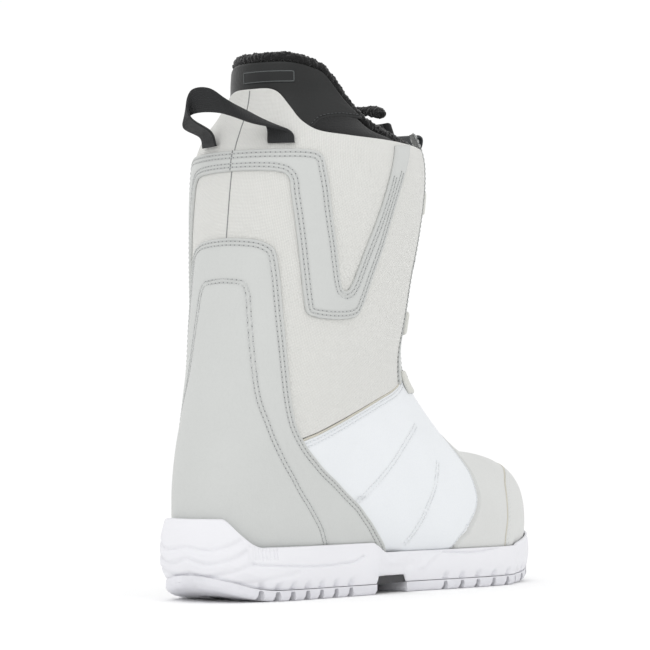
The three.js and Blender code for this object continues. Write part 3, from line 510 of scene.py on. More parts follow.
def stops(length, count, first=0.0, last=0.0):
    """Shares of each length, close together near both ends, and on past them by first and last."""
    length = np.atleast_1d(np.asarray(length, float))[:, None]
    edge = EDGE_STOPS * np.minimum(1, length / (2.5 * EDGE_STOPS[-1]))
    inner = np.linspace(0, 1, count - 2 * len(EDGE_STOPS) + 2)[1:-1]
    middle = edge[:, -1:] + (length - 2 * edge[:, -1:]) * inner
    at = np.hstack([edge, middle, length - edge[:, ::-1]])
    tuck = np.array([1.0, 0.6, 0.25]) + 0 * length
    if first:
        at = np.hstack([-first * tuck, at])
    if last:
        at = np.hstack([at, length + last * tuck[:, ::-1]])
    return at / length


class Panel:
    """Grid of places between two lines. tuck_a and tuck_b carry it on under its neighbours."""

    def __init__(self, line_a, line_b, rows, columns, tuck_a=0.0, tuck_b=0.0, ends=True):
        t = np.linspace(0, 1, 600)
        (qa, aa), (qb, ab) = line_a(t), line_b(t)
        middle = skin_point((qa + qb) / 2, (aa + ab) / 2)
        edge = skin_point(qa, aa)
        step = sum(np.linalg.norm(np.diff(p, axis=0), axis=1) for p in (middle, edge)) / 2
        run = np.append(0, np.cumsum(step))
        share = stops(run[-1], rows)[0] if ends else np.linspace(0, 1, rows)
        t = np.interp(share * run[-1], run, t)
        (qa, aa), (qb, ab) = [[v[:, None] for v in line(t)] for line in (line_a, line_b)]
        s = np.linspace(0, 1, 41)
        rung = skin_point(mix(qa, qb, s), mix(aa, ab, s))
        pace = np.linalg.norm(np.diff(rung, axis=1), axis=2)
        along = np.hstack([np.zeros((rows, 1)), np.cumsum(pace, axis=1)])
        at = stops(along[:, -1], columns, tuck_a, tuck_b)
        share = np.array([np.interp(a * run_[-1], run_, s) for a, run_ in zip(at, along)])
        share = np.where(at < 0, at, np.where(at > 1, at, share))
        self.q = np.clip(mix(qa, qb, share), 0, LAST)
        self.angle = mix(aa, ab, share)
        self.base = skin_point(self.q, self.angle)
        length = along[:, -1:]
        self.beyond = np.maximum(np.maximum(-at * length, (at - 1) * length), 0)
        self.border = self.outline(line_a, line_b, tuck_a, tuck_b, ends)

    def outline(self, line_a, line_b, tuck_a, tuck_b, ends):
        """Distance of each point from the panel's visible edges."""
        t = np.linspace(0, 1, 500)
        edges = [line(t) for line, tuck in ((line_a, tuck_a), (line_b, tuck_b)) if not tuck]
        if ends:
            for k in (0.0, 1.0):
                (qa, aa), (qb, ab) = [line(np.array([k])) for line in (line_a, line_b)]
                edges.append((mix(qa, qb, t[::10]), mix(aa, ab, t[::10])))
        far = np.full(self.q.shape, 99.0)
        for q, angle in edges:
            far = np.minimum(far, distance_to(self.base, skin_point(q, angle)))
        return far

    def solid(self, layer, seams=(), radius=0.9, puff=0.0, depth=0.28, thin=0.25, field=None):
        """Points and faces of the panel in a layer, with rounded edges, pulled in along its seams."""
        inner, outer = layer
        roll = np.clip(self.border / radius, 0, 1)
        height = (outer - inner) * mix(thin, 1, np.sqrt(1 - (1 - roll) ** 2))
        pull = np.zeros(self.q.shape)
        near = np.full(self.q.shape, 99.0)
        for q, angle in seams:
            d = distance_to(self.base, skin_point(q, angle))
            pull = np.maximum(pull, np.exp(-((d / 0.75) ** 2)))
            near = np.minimum(near, d)
        full = puff * smooth(np.minimum(near, self.border), 0, 9)
        tuck = smooth(self.beyond, 0, 1.2) * (outer + GAP)
        lift = inner + height + full - depth * pull - tuck
        if field is not None:
            lift = lift + field(self.q, self.angle, self.base)
        points = skin(self.q, self.angle, lift)
        backing = skin(self.q, self.angle, inner - tuck + 0 * lift)
        self.near = near
        return closed(points, backing)

    def weave(self, flip=False):
        """Cloth coordinates in millimetres for both faces."""
        u = np.radians(self.angle) * 52
        v = self.base[..., 2] - 0.25 * self.base[..., 1]
        uv = np.stack([u, v], -1).reshape(-1, 2)
        return np.concatenate([uv, uv])

    def values(self):
        """How near each point is to an edge (1 at it) and to a seam, for the painted shade there."""
        edge = np.exp(-((self.border / 1.3) ** 2)).ravel()
        sewn = np.exp(-((self.near / 1.1) ** 2)).ravel()
        return {"edge": np.concatenate([edge, edge]), "sewn": np.concatenate([sewn, sewn])}


def sewn_panel(name, line_a, line_b, rows, columns, layer, material, slot, body="boot", replaces=(),
               seams=(), tuck_a=0.0, tuck_b=0.0, ends=True, **shape):
    made = Panel(line_a, line_b, rows, columns, tuck_a, tuck_b, ends)
    points, faces = made.solid(layer, seams, **shape)
    return piece(name, points, faces, material, body, slot, replaces, made.weave(), made.values())


# ---------------------------------------------------------------- stitches


def placed(template, centre, way, up):
    """Copies of a small part, laid along `way` with its back to `up`."""
    points, faces = template
    across = unit(np.cross(up, way))
    up = np.cross(way, across)
    frame_ = np.stack([way, across, up], 1)
    out = np.einsum("kc,ncd->nkd", points, frame_) + centre[:, None]
    n, size = len(centre), len(points)
    shift = (np.arange(n) * size)[:, None, None]
    return out.reshape(-1, 3), (faces[None] + shift).reshape(-1, faces.shape[1])


def thread_template():
    x = np.array([-1, -0.8, -0.35, 0.35, 0.8, 1]) * (STITCH / 2 - 0.42)
    bend = np.array([-0.3, 0.02, 0.16, 0.16, 0.02, -0.3])
    path = np.stack([x, 0 * x, bend], 1)
    return tube_parts(path, [0.16, 0.27, 0.3, 0.3, 0.27, 0.16], 6, up=(0, 0, 1))


def hole_template():
    turn = np.linspace(0, 2 * np.pi, 8, endpoint=False)
    rings = [(0.5, -0.25), (0.46, 0.02), (0.26, 0.1)]
    points = [[r * math.cos(a), r * 0.85 * math.sin(a), z] for r, z in rings for a in turn]
    points += [[0, 0, 0.11], [0, 0, -0.25]]
    faces = []
    for j in range(8):
        k = (j + 1) % 8
        faces += [[j, k, 8 + k, 8 + j], [8 + j, 8 + k, 16 + k, 16 + j]]
        faces += [[16 + j, 16 + k, 24, 24], [k, j, 25, 25]]
    return np.array(points, float), np.array(faces)


class Stitching:
    """Rows of stitches of one colour on one body."""

    def __init__(self):
        self.threads, self.holes = [], []

    def row(self, q, angle, lift, pitch=STITCH):
        p = skin(q, angle, lift)
        run = np.append(0, np.cumsum(np.linalg.norm(np.diff(p, axis=0), axis=1)))
        count = max(2, int(run[-1] / pitch))
        at = (np.arange(count) + 0.5) * run[-1] / count
        qs, angles, lifts = [np.interp(at, run, np.broadcast_to(v, run.shape)) for v in (q, angle, lift)]
        centre = skin(qs, angles, lifts)
        way = unit(np.gradient(centre, axis=0))
        up = normal_at(qs, angles)
        self.threads.append(placed(thread_template(), centre, way, up))
        # Needle holes: a small dome between each two stitches, coloured as the shade in the hole.
        half = way * (run[-1] / count) / 2
        self.holes.append(placed(hole_template(), centre + half - up * 0.04, way, up))

    def rows_in(self, line, sides, lift, distances=ROWS, start=0.0, end=1.0):
        """Rows at distances in from a line, and the places that they follow."""
        q, angle, _ = even_places(part_of(line, start, end), 1.0)
        made = []
        for distance in distances:
            a, b = moved_aside(q, angle, sides * distance)
            self.row(a, b, lift)
            made.append((a, b))
        return made

    def finish(self, name, thread, hole, slot, body="boot"):
        points, faces = joined(self.threads)
        piece(f"{name}_thread", points, faces, thread, body, slot)
        # The needle holes carry painted shade.
        points, faces = joined(self.holes)
        piece(f"{name}_needle_hole_shade", points, faces, hole, body, slot)


# ---------------------------------------------------------------- materials


BASE_SHARE = 0.88


def colour(red, green, blue):
    """A screen colour, 0 to 255, as the shader's linear values, a little lower because the lamps add to it."""
    def linear(v):
        v = v / 255
        return v / 12.92 if v <= 0.04045 else ((v + 0.055) / 1.055) ** 2.4

    return tuple(linear(v) * BASE_SHARE for v in (red, green, blue)) + (1.0,)


class Finish:
    """A material with a Principled shader and short ways to add nodes to it."""

    def __init__(self, name, base, roughness, **sockets):
        self.material = bpy.data.materials.new(name)
        self.material.use_nodes = True
        self.nodes, self.links = self.material.node_tree.nodes, self.material.node_tree.links
        self.shader = next(n for n in self.nodes if n.type == "BSDF_PRINCIPLED")
        self.base = base
        self.shader.inputs["Base Color"].default_value = base
        self.shader.inputs["Roughness"].default_value = roughness
        for key, value in sockets.items():
            self.shader.inputs[key.replace("_", " ")].default_value = value
        self.bumps = None

    def add(self, kind, **given):
        node = self.nodes.new(kind)
        for key, value in given.items():
            if key in node.inputs:
                self.put(node.inputs[key], value)
            else:
                setattr(node, key, value)
        return node

    def put(self, socket, value):
        if isinstance(value, bpy.types.NodeSocket):
            self.links.new(value, socket)
        else:
            socket.default_value = value

    def math(self, operation, *values, clamp=False):
        node = self.nodes.new("ShaderNodeMath")
        node.operation, node.use_clamp = operation, clamp
        for socket, value in zip(node.inputs, values):
            self.put(socket, value)
        return node.outputs[0]

    def place(self, per_metre=1000.0, stretch=(1, 1, 1)):
        """Object coordinates, by default in millimetres."""
        scale = [per_metre * s for s in stretch]
        mapping = self.add("ShaderNodeMapping", Scale=scale)
        self.put(mapping.inputs["Vector"], self.add("ShaderNodeTexCoord").outputs["Object"])
        return mapping.outputs[0]

    def cloth(self):
        """The two cloth coordinates of a sewn panel, in millimetres."""
        split = self.add("ShaderNodeSeparateXYZ")
        self.put(split.inputs[0], self.add("ShaderNodeUVMap", uv_map="cloth").outputs[0])
        return split.outputs[0], split.outputs[1]

    def noise(self, size, detail=2.0, roughness=0.5, stretch=(1, 1, 1)):
        """Noise from 0 to 1 with lumps of about `size` millimetres."""
        node = self.add("ShaderNodeTexNoise", Detail=detail, Roughness=roughness, Scale=1.0)
        self.put(node.inputs["Vector"], self.place(1000 / size, stretch))
        return node.outputs["Fac"]

    def cells(self, size, feature="F1"):
        node = self.add("ShaderNodeTexVoronoi", feature=feature, Scale=1.0)
        self.put(node.inputs["Vector"], self.place(1000 / size))
        return node.outputs["Distance"]

    def value(self, name):
        return self.add("ShaderNodeAttribute", attribute_name=name).outputs["Fac"]

    def ramp(self, factor, low, high, bottom=0.0, top=1.0):
        node = self.add("ShaderNodeMapRange")
        for socket, value in zip(node.inputs, (factor, bottom, top, low, high)):
            self.put(socket, value)
        return node.outputs[0]

    def tint(self, factor, other, blend="MIX"):
        """Mixes another colour into the base colour by a factor."""
        node = self.add("ShaderNodeMix", data_type="RGBA", blend_type=blend)
        self.put(node.inputs["Factor"], factor)
        source = self.shader.inputs["Base Color"]
        a = [s for s in node.inputs if s.type == "RGBA"]
        self.put(a[0], source.links[0].from_socket if source.is_linked else self.base)
        self.put(a[1], other)
        out = next(s for s in node.outputs if s.type == "RGBA")
        if source.is_linked:
            self.links.remove(source.links[0])
        self.links.new(out, source)
        return self

    def bump(self, height, depth, strength=1.0):
        """Adds relief; the depth is in millimetres."""
        node = self.add("ShaderNodeBump", Strength=strength, Distance=depth * MM, Height=height)
        if self.bumps is not None:
            self.links.new(self.bumps.outputs[0], node.inputs["Normal"])
            self.links.remove(self.shader.inputs["Normal"].links[0])
        self.links.new(node.outputs[0], self.shader.inputs["Normal"])
        self.bumps = node
        return self

    def gloss(self, factor, low, high):
        """Roughness between two values by a factor."""
        self.links.new(self.ramp(factor, low, high), self.shader.inputs["Roughness"])
        return self


def darker(base, share):
    return tuple(c * share for c in base[:3]) + (1.0,)


def leather(name, base, grain, roughness, depth=0.07, edge_seam_shade=0.9):
    """Synthetic leather: pebbled grain, faint mottling, and painted shade along edges and seams; a last factor above
    one paints them lighter instead.
    """
    made = Finish(name, base, roughness, Specular_IOR_Level=0.42)
    pebble = made.cells(grain, "SMOOTH_F1")
    fine = made.noise(grain * 0.35, 3.0)
    large = made.noise(34, 3.0)
    made.tint(made.ramp(large, 0.0, 0.5, 0.35, 0.7), darker(base, 0.955))
    made.tint(made.ramp(pebble, 0.0, 0.22, 0.25, 0.75), darker(base, 0.9))
    # Painted shade: darker colour along the seams and the panel's edges, by the last factor.
    made.tint(made.math("MULTIPLY", made.value("sewn"), 0.4), darker(base, edge_seam_shade * 0.94))
    made.tint(made.math("MULTIPLY", made.value("edge"), 0.55), darker(base, edge_seam_shade))
    made.gloss(made.math("ADD", made.math("MULTIPLY", pebble, 0.5), made.math("MULTIPLY", large, 0.4)),
               roughness - 0.06, roughness + 0.12)
    made.bump(pebble, depth, 0.8).bump(fine, depth * 0.35, 0.6)
    return made.material


def woven(name, base, pitch, depth, slub=0.12, roughness=0.88):
    """Plain weave in the cloth coordinates: warp and weft pass over each other in turn."""
    made = Finish(name, base, roughness, Sheen_Weight=0.12, Sheen_Roughness=0.5)
    u, v = [made.math("DIVIDE", c, pitch) for c in made.cloth()]
    wander = made.math("MULTIPLY", made.math("SUBTRACT", made.noise(9, 2.0), 0.5), 0.7)
    u, v = made.math("ADD", u, wander), made.math("ADD", v, wander)

    def across(c):
        return made.math("ABSOLUTE", made.math("SINE", made.math("MULTIPLY", c, math.pi)))

    cells = made.math("ADD", made.math("FLOOR", u), made.math("FLOOR", v))
    over = made.math("ABSOLUTE", made.math("MODULO", cells, 2.0))
    warp = made.math("MULTIPLY", across(u), made.math("POWER", across(v), 0.6))
    weft = made.math("MULTIPLY", across(v), made.math("POWER", across(u), 0.6))
    height = made.math("ADD", made.math("MULTIPLY", warp, over),
                       made.math("MULTIPLY", weft, made.math("SUBTRACT", 1.0, over)))
    rows = made.noise(1, 1.0, 0.5, (0.03, 0.03, 1 / pitch))
    columns = made.noise(2.2, 1.0, 0.5, (1, 1, 0.03))
    streaks = made.math("ADD", rows, columns)
    made.tint(made.ramp(height, 0.62, 0.0, 0.0, 0.6), darker(base, 0.62))
    made.tint(made.ramp(streaks, 0.0, slub * 3, 0.75, 1.35), darker(base, 0.87))
    made.tint(made.ramp(made.noise(42, 3.0), 0.0, 0.35, 0.4, 0.7), darker(base, 0.94))
    made.tint(made.math("MULTIPLY", over, 0.16), darker(base, 0.86))
    made.bump(height, depth, 0.9).bump(made.noise(0.35, 2.0), depth * 0.4, 0.5)
    return made.material


def foam_skin(name, base, roughness=0.55):
    """Moulded foam: fine pebble, faint yellowing in patches, a slight satin."""
    made = Finish(name, base, roughness, Specular_IOR_Level=0.38)
    fine = made.noise(0.5, 3.0)
    large = made.noise(28, 3.0)
    made.tint(made.ramp(large, 0.0, 0.5, 0.4, 0.75), darker(base, 0.975))
    made.tint(made.ramp(fine, 0.0, 0.18, 0.45, 0.8), darker(base, 0.95))
    made.gloss(fine, roughness - 0.05, roughness + 0.1)
    made.bump(fine, 0.04, 0.7)
    return made.material


def moulded(name, base, roughness, pebble=0.3, depth=0.03):
    """Moulded plastic or rubber with a fine spark-eroded surface."""
    made = Finish(name, base, roughness, Specular_IOR_Level=0.45)
    fine = made.noise(pebble, 3.0)
    made.tint(made.ramp(made.noise(15, 3.0), 0.0, 0.6, 0.4, 0.75), darker(base, 0.85))
    made.tint(made.ramp(fine, 0.0, 0.3, 0.4, 0.8), darker(base, 0.8))
    made.gloss(fine, roughness - 0.06, roughness + 0.14)
    made.bump(fine, depth, 0.7)
    return made.material


def pile(name, base):
    """Curly pile: the curls are in the shape, and the fine fibres are here."""
    made = Finish(name, base, 0.95, Sheen_Weight=0.35, Sheen_Roughness=0.45)
    curls = made.cells(1.1)
    fibres = made.noise(0.35, 4.0, 0.7)
    made.tint(made.ramp(curls, 0.7, 0.0, 0.1, 0.6), darker(base, 1.9))
    made.tint(made.ramp(fibres, 0.0, 0.6, 0.4, 0.8), darker(base, 0.45))
    made.bump(curls, 0.5, 0.8).bump(fibres, 0.2, 0.8)
    return made.material


def ribbed_webbing(name, base, ribs=1.15):
    """Webbing in cloth coordinates: ribs along it, and picks across it."""
    made = Finish(name, base, 0.72, Sheen_Weight=0.1, Sheen_Roughness=0.5)
    u, v = made.cloth()

    def wave(c, pitch):
        turn = made.math("MULTIPLY", c, 2 * math.pi / pitch)
        return made.math("MULTIPLY_ADD", made.math("SINE", turn), 0.5, 0.5)

    rib, pick = wave(u, ribs), wave(v, 0.9)
    made.tint(made.ramp(rib, 0.75, 0.0, 0.1, 0.75), darker(base, 0.35))
    made.tint(made.math("MULTIPLY", pick, 0.35), darker(base, 1.9))
    made.bump(rib, 0.25, 0.7).bump(pick, 0.12, 0.6).bump(made.noise(0.3, 2.0), 0.05, 0.5)
    return made.material


def knitted(name, base, pitch=1.0):
    """Liner cloth: a brushed knit with small cells."""
    made = Finish(name, base, 0.93, Sheen_Weight=0.25, Sheen_Roughness=0.5)
    cells = made.cells(pitch)
    fuzz = made.noise(0.4, 3.0)
    made.tint(made.ramp(cells, 0.0, 0.6, 0.2, 0.7), darker(base, 1.8))
    made.tint(made.ramp(fuzz, 0.0, 0.6, 0.4, 0.8), darker(base, 0.5))
    made.bump(cells, 0.2, 0.7).bump(fuzz, 0.08, 0.7)
    return made.material


def braided(name, base):
    """Round cord with two families of strands."""
    made = Finish(name, base, 0.45, Specular_IOR_Level=0.5)
    u, v = made.cloth()
    sides = [made.math("SINE", made.math("ADD", made.math("MULTIPLY", u, 4.0), made.math("MULTIPLY", v, k)))
             for k in (3.2, -3.2)]
    height = made.math("MAXIMUM", *sides)
    made.tint(made.ramp(height, 0.7, 0.0, -0.6, 0.7), darker(base, 0.35))
    made.bump(height, 0.12, 0.8)
    return made.material


def metal(name, base):
    made = Finish(name, base, 0.3, Metallic=1.0)
    brushed = made.noise(1.0, 2.0, 0.5, (1, 1, 9))
    made.gloss(brushed, 0.22, 0.42)
    made.bump(brushed, 0.01, 0.5)
    return made.material


def woven_stripes(name):
    """Small woven label: coloured bars and no lettering."""
    base = colour(46, 48, 52)
    made = Finish(name, base, 0.8)
    u, v = made.cloth()
    bars = made.math("MODULO", made.math("MULTIPLY", u, 0.55), 4.0)
    for start, bar in ((0.2, (196, 92, 64)), (1.3, (214, 214, 210)), (2.3, (84, 112, 168))):
        inside = made.math("MULTIPLY", made.math("GREATER_THAN", bars, start),
                           made.math("LESS_THAN", bars, start + 0.6))
        made.tint(inside, colour(*bar))
    thread = made.math("MULTIPLY_ADD", made.math("SINE", made.math("MULTIPLY", v, 12.0)), 0.5, 0.5)
    made.tint(made.math("MULTIPLY", thread, 0.3), darker(base, 0.5))
    made.bump(thread, 0.08, 0.7)
    return made.material


GREY = colour(211, 213, 211)
CREAM = colour(244, 244, 240)
WHITE = colour(242, 245, 248)
SOLE_WHITE = colour(243, 243, 247)
BLACK = colour(44, 46, 48)

# Leather's last factor, 0.9 unless given, sets the painted shade along edges and seams: below one darker, above one,
# as on the badge, lighter.
grey_leather = leather("grey_leather", GREY, 0.95, 0.5)
toe_leather = leather("toe_leather", colour(224, 225, 223), 0.95, 0.52)
white_leather = leather("white_leather", WHITE, 0.8, 0.46, 0.045, 0.95)
canvas = woven("canvas", CREAM, 0.78, 0.26)
piping_cloth = woven("piping_cloth", colour(232, 228, 214), 0.5, 0.12)
sole_foam = foam_skin("sole_foam", SOLE_WHITE)
tread_rubber = moulded("tread_rubber", colour(238, 238, 243), 0.6, 0.4, 0.035)
pale_plastic = moulded("pale_plastic", colour(226, 226, 220), 0.6)
shank_plastic = moulded("shank_plastic", colour(52, 52, 54), 0.45)
black_plastic = moulded("black_plastic", colour(26, 27, 29), 0.42)
grey_plastic = moulded("grey_plastic", colour(150, 152, 154), 0.42)
knob_rubber = moulded("knob_rubber", colour(36, 37, 39), 0.62, 0.35, 0.04)
steel = metal("steel", colour(196, 198, 202))
strap_webbing = ribbed_webbing("strap_webbing", colour(19, 21, 23))
tab_webbing = ribbed_webbing("tab_webbing", colour(40, 44, 47), 1.6)
collar_leather = leather("collar_leather", colour(18, 20, 20), 1.25, 0.4, 0.12, 0.6)
liner_cloth = knitted("liner_cloth", colour(14, 15, 16))
fleece = pile("fleece", colour(12, 12, 13))
badge_leather = leather("badge_leather", colour(15, 17, 18), 0.6, 0.4, 0.03, 1.3)
badge_frame = moulded("badge_frame", colour(92, 96, 96), 0.4)
label_cloth = woven_stripes("label_cloth")
lining_mesh = knitted("lining_mesh", colour(60, 62, 64), 1.6)
board_fibre = moulded("board_fibre", colour(66, 64, 60), 0.85, 0.8, 0.06)
# Needle holes are painted shade: each hole colour below is the shade in the holes next to its thread, and the grey
# one also lines the back seams.
grey_thread = moulded("grey_thread", colour(206, 208, 207), 0.7, 0.2, 0.03)
hole_and_seam_shade = moulded("hole_and_seam_shade", colour(140, 142, 142), 0.85, 0.2, 0.03)
white_thread = moulded("white_thread", colour(244, 246, 248), 0.65, 0.2, 0.03)
pale_hole_shade = moulded("pale_hole_shade", colour(218, 222, 226), 0.85, 0.2, 0.03)
black_thread = moulded("black_thread", colour(70, 72, 73), 0.6, 0.2, 0.03)
black_hole_shade = moulded("black_hole_shade", colour(16, 16, 17), 0.85, 0.2, 0.03)
lace_cord = braided("lace_cord", colour(70, 72, 76))

# ---------------------------------------------------------------- upper

eyestay = [(q, front_edge(q)) for q in (10.8, 9.8, 9)]
quarter_edge = chain((seam(HIDDEN_JOINT), 0.34), (seam(QUARTER_TOP), 0.72),
                     (seam([QUARTER_TOP[-1], *eyestay, (THROAT_Q + 0.1, 158)]), 1.0))
quarter_front = seam(QUARTER_FRONT)
INNER_ARCH = [
    *on_leg([[0, 170.8], [9.5, 170], [15, 168.4], [18.2, 163], [20.6, 151], [24.4, 132.6], [31.2, 109.8],
             [40.6, 93.1]]),
    *by_side([[113.9, 77], [106.3, 64.2], [96.9, 52], [86.7, 40.9], [76.6, 29], [73, 23]]),
]


def make_quarters():
    """White panels over the instep, each with its two decorative double rows of stitches."""
    flex_rows = [seam(by_side([[58, 50.5], [26.9, 69.1], [6.8, 83.2], [-8, 92.5]])),
                 seam(by_side([[11, 27], [3, 36.9], [-5.4, 46.7], [-13.3, 56.7], [-22, 71.8]]))]
    stitching = Stitching()
    for name, sign in (("lateral", 1), ("medial", -1)):
        there = (lambda line: line) if sign > 0 else turned
        edge, front = there(quarter_edge), there(shifted(quarter_front, 0.05))
        rows = []
        top = there(part_of(seam(QUARTER_TOP), 0.13, 0.99))
        rows += stitching.rows_in(top, -sign, SHELL[1] - 0.2)
        rows += stitching.rows_in(there(part_of(quarter_front, 0.04, 0.9)), sign, SHELL[1] - 0.2, (2.2,))
        for line in flex_rows:
            rows += stitching.rows_in(there(line), sign, SHELL[1] - 0.2, (-1.15, 1.15))
        sewn_panel(f"quarter_panel_{name}", edge, front, 230, 96, SHELL, white_leather, "white_leatherette",
                   replaces=(f"quarter_{name}",), seams=rows, puff=0.35)
        q, angle, _ = even_places(there(part_of(seam(QUARTER_TOP), 0.1, 1.0)), 1.0)
        bead = skin(q + 0.02, angle, 1.0)
        points, faces = tube_parts(bead, 0.62, 10)
        piece(f"quarter_piping_{name}", points, faces, piping_cloth, "boot", "canvas", uv=cord_uv(bead, 10))
    stitching.finish("quarter", white_thread, pale_hole_shade, "white_leatherette")


def make_canvas():
    """Canvas round the leg, with its centre-back seam and the facings along its front edges."""
    foot = seam([leg(0, 88), leg(20, 86.5), *[(q + 0.1, angle) for q, angle in QUARTER_TOP]])
    rim = seam([leg(a, z) for a, z in RIM])
    sewn_panel("shaft_panel", round_the_back(foot), round_the_back(rim), 330, 120, SHELL, canvas,
               "canvas", replaces=("shaft_canvas",), tuck_a=4.0, puff=0.0)
    # Centre-back seam: a flat cord in the grey of painted shade along the seam's crease.
    z = np.linspace(191, 274.5, 120)
    path = skin(*leg(0 * z, z), 1.16)
    points, faces = tube_parts(path, 0.42, 8, up=(0, 1, 0), flat=0.5)
    piece("canvas_back_seam", points, faces, hole_and_seam_shade, "boot", "canvas")
    facings = Stitching()
    for name, sign in (("lateral", 1), ("medial", -1)):
        there = (lambda line: line) if sign > 0 else turned
        q = np.array([11.9, 13, 15, 17, 19, 21, 22.6])
        outer = there(seam([(k, front_edge(k) - 0.4) for k in q]))
        inner = there(seam([(k, front_edge(k) - 12.5) for k in q]))
        rows = facings.rows_in(part_of(inner, 0.02, 0.98), sign, 1.5, ROWS)
        rows += facings.rows_in(part_of(outer, 0.02, 0.98), -sign, 1.5, (1.8,))
        sewn_panel(f"front_facing_{name}", inner, outer, 160, 46, (1.2, 1.62), grey_leather, "leatherette",
                   seams=rows, depth=0.12, radius=0.5)
    facings.finish("facing", grey_thread, hole_and_seam_shade, "leatherette")


def make_toe():
    """Toe cap, the bumper at the tip of the toe, and the piping between them."""
    back = seam([(q - 0.06, angle) for q, angle in [*QUARTER_FRONT, (THROAT_Q, 180)]])
    front = seam(TOE_SEAM)
    rows = Stitching()
    q, angle, _ = even_places(over_the_front(part_of(front, 0.06, 1.0)), 1.0)
    lines = []
    for distance in (-2.0, -3.9):
        a, b = moved_aside(q, angle, distance)
        rows.row(a, b, SHELL[1] - 0.2)
        lines.append((a, b))
    sewn_panel("toe_cap_panel", over_the_front(back), over_the_front(front), 300, 90, SHELL, toe_leather,
               "leatherette", replaces=("toe_cap",), seams=lines, tuck_a=4.5, ends=False, puff=0.25)
    bumper = shifted(front, -0.08)
    share = rising(lambda s: skin_point(*level(s, FOOT_Z))[..., 1] , np.array(-80.6), 0.001, 0.999)

    def foot(t):
        return level(share * (1 - np.asarray(t, float)), FOOT_Z)

    sewn_panel("toe_bumper_panel", over_the_front(bumper), over_the_front(foot), 240, 70, SHELL, toe_leather,
               "leatherette", replaces=("toe_bumper",), tuck_a=3.0, ends=False, puff=0.2)
    rows.finish("toe", grey_thread, hole_and_seam_shade, "leatherette")
    bead = skin(q, angle, 0.95)
    points, faces = tube_parts(bead, 0.6, 10)
    piece("toe_piping", points, faces, piping_cloth, "boot", "canvas", uv=cord_uv(bead, 10))


def make_backstay():
    """Panel over the heel with its stitched arch."""
    top = seam([BACKSTAY_FRONT[-1], leg(19, 191.6), leg(10, 192.6), leg(0, 193)])
    edge = chain((seam(BACKSTAY_FRONT), 0.84), (top, 1.0))
    share = rising(lambda s: skin_point(*level(s, FOOT_Z))[..., 1], np.array(20.0), 0.001, 0.999)

    def foot(t):
        return level(mix(1.0, share, np.asarray(t, float)), FOOT_Z)

    upper = round_the_back(backwards(edge))
    stitching = Stitching()
    rows = stitching.rows_in(upper, -1, OVERLAY[1] - 0.22, start=0.012, end=0.988)
    arch = round_the_back(seam(INNER_ARCH))
    rows += stitching.rows_in(arch, -1, OVERLAY[1] - 0.22, (0.0, 2.1))
    sewn_panel("backstay_panel", upper, round_the_back(foot), 330, 130, OVERLAY, grey_leather, "leatherette",
               replaces=("backstay",), seams=rows, ends=False, puff=0.3, thin=0.2)
    stitching.finish("backstay", grey_thread, hole_and_seam_shade, "leatherette")


def make_cuff_band():
    """Band round the back of the cuff, down each side to a V, and up to the rim."""
    upper, lower = [round_the_back(seam(on_leg(table))) for table in (BAND_UPPER, BAND_LOWER)]
    stitching = Stitching()
    rows = stitching.rows_in(upper, -1, OVERLAY[1] - 0.22, start=0.02, end=0.98)
    rows += stitching.rows_in(lower, 1, OVERLAY[1] - 0.22, start=0.02, end=0.98)
    sewn_panel("cuff_band_panel", upper, lower, 760, 50, OVERLAY, grey_leather, "leatherette",
               replaces=("cuff_band",), seams=rows, puff=0.25, thin=0.2)
    stitching.finish("cuff_band", grey_thread, hole_and_seam_shade, "leatherette")
    # Back seam of the band: a flat cord in the grey of painted shade along the seam's crease.
    z = np.linspace(229.6, 240.2, 24)
    path = skin(*leg(0 * z, z), OVERLAY[1] - 0.05)
    points, faces = tube_parts(path, 0.4, 8, up=(0, 1, 0), flat=0.5)
    piece("band_back_seam", points, faces, hole_and_seam_shade, "boot", "leatherette")


make_quarters()
make_canvas()
make_toe()
make_backstay()
make_cuff_band()

# ---------------------------------------------------------------- straps


def strap(name, stops_, width, thickness, ribs, rows, material, body, replaces):
    """Webbing strap: at each stop a point and the direction of its width."""
    stations = [[*point, *unit(np.array(way, float))] for point, way in stops_]
    path = smooth_path(stations, rows)
    centre, across = path[:, :3], unit(path[:, 3:])
    along = unit(np.gradient(centre, axis=0))
    normal = unit(np.cross(along, across))
    columns = 8 * ribs + 1
    w = np.linspace(-0.5, 0.5, columns)
    edge = np.clip((0.5 - np.abs(w)) * width / (0.5 * thickness), 0, 1)
    relief = 0.09 * (1 - np.abs(np.cos(np.pi * (w + 0.5) * ribs))) ** 0.7
    half = thickness / 2 * np.sqrt(1 - (1 - edge) ** 2) * 0.9 + 0.03 + relief * (edge > 0.8)
    middle = centre[:, None] + across[:, None] * (w * width)[:, None]
    outer = middle + normal[:, None] * half[:, None]
    inner = middle - normal[:, None] * half[:, None]
    run = np.append(0, np.cumsum(np.linalg.norm(np.diff(centre, axis=0), axis=1)))
    u, v = np.meshgrid(w * width, run)
    uv = np.stack([u.ravel(), v.ravel()], 1)
    points, faces = closed(outer, inner)
    return piece(name, points, faces, material, body, "webbing", replaces, np.concatenate([uv, uv]))


def plain_foot(angle, z, lift):
    base = skin_point(*leg(angle, z))
    return list(base + normal_at(*leg(angle, z)) * lift)


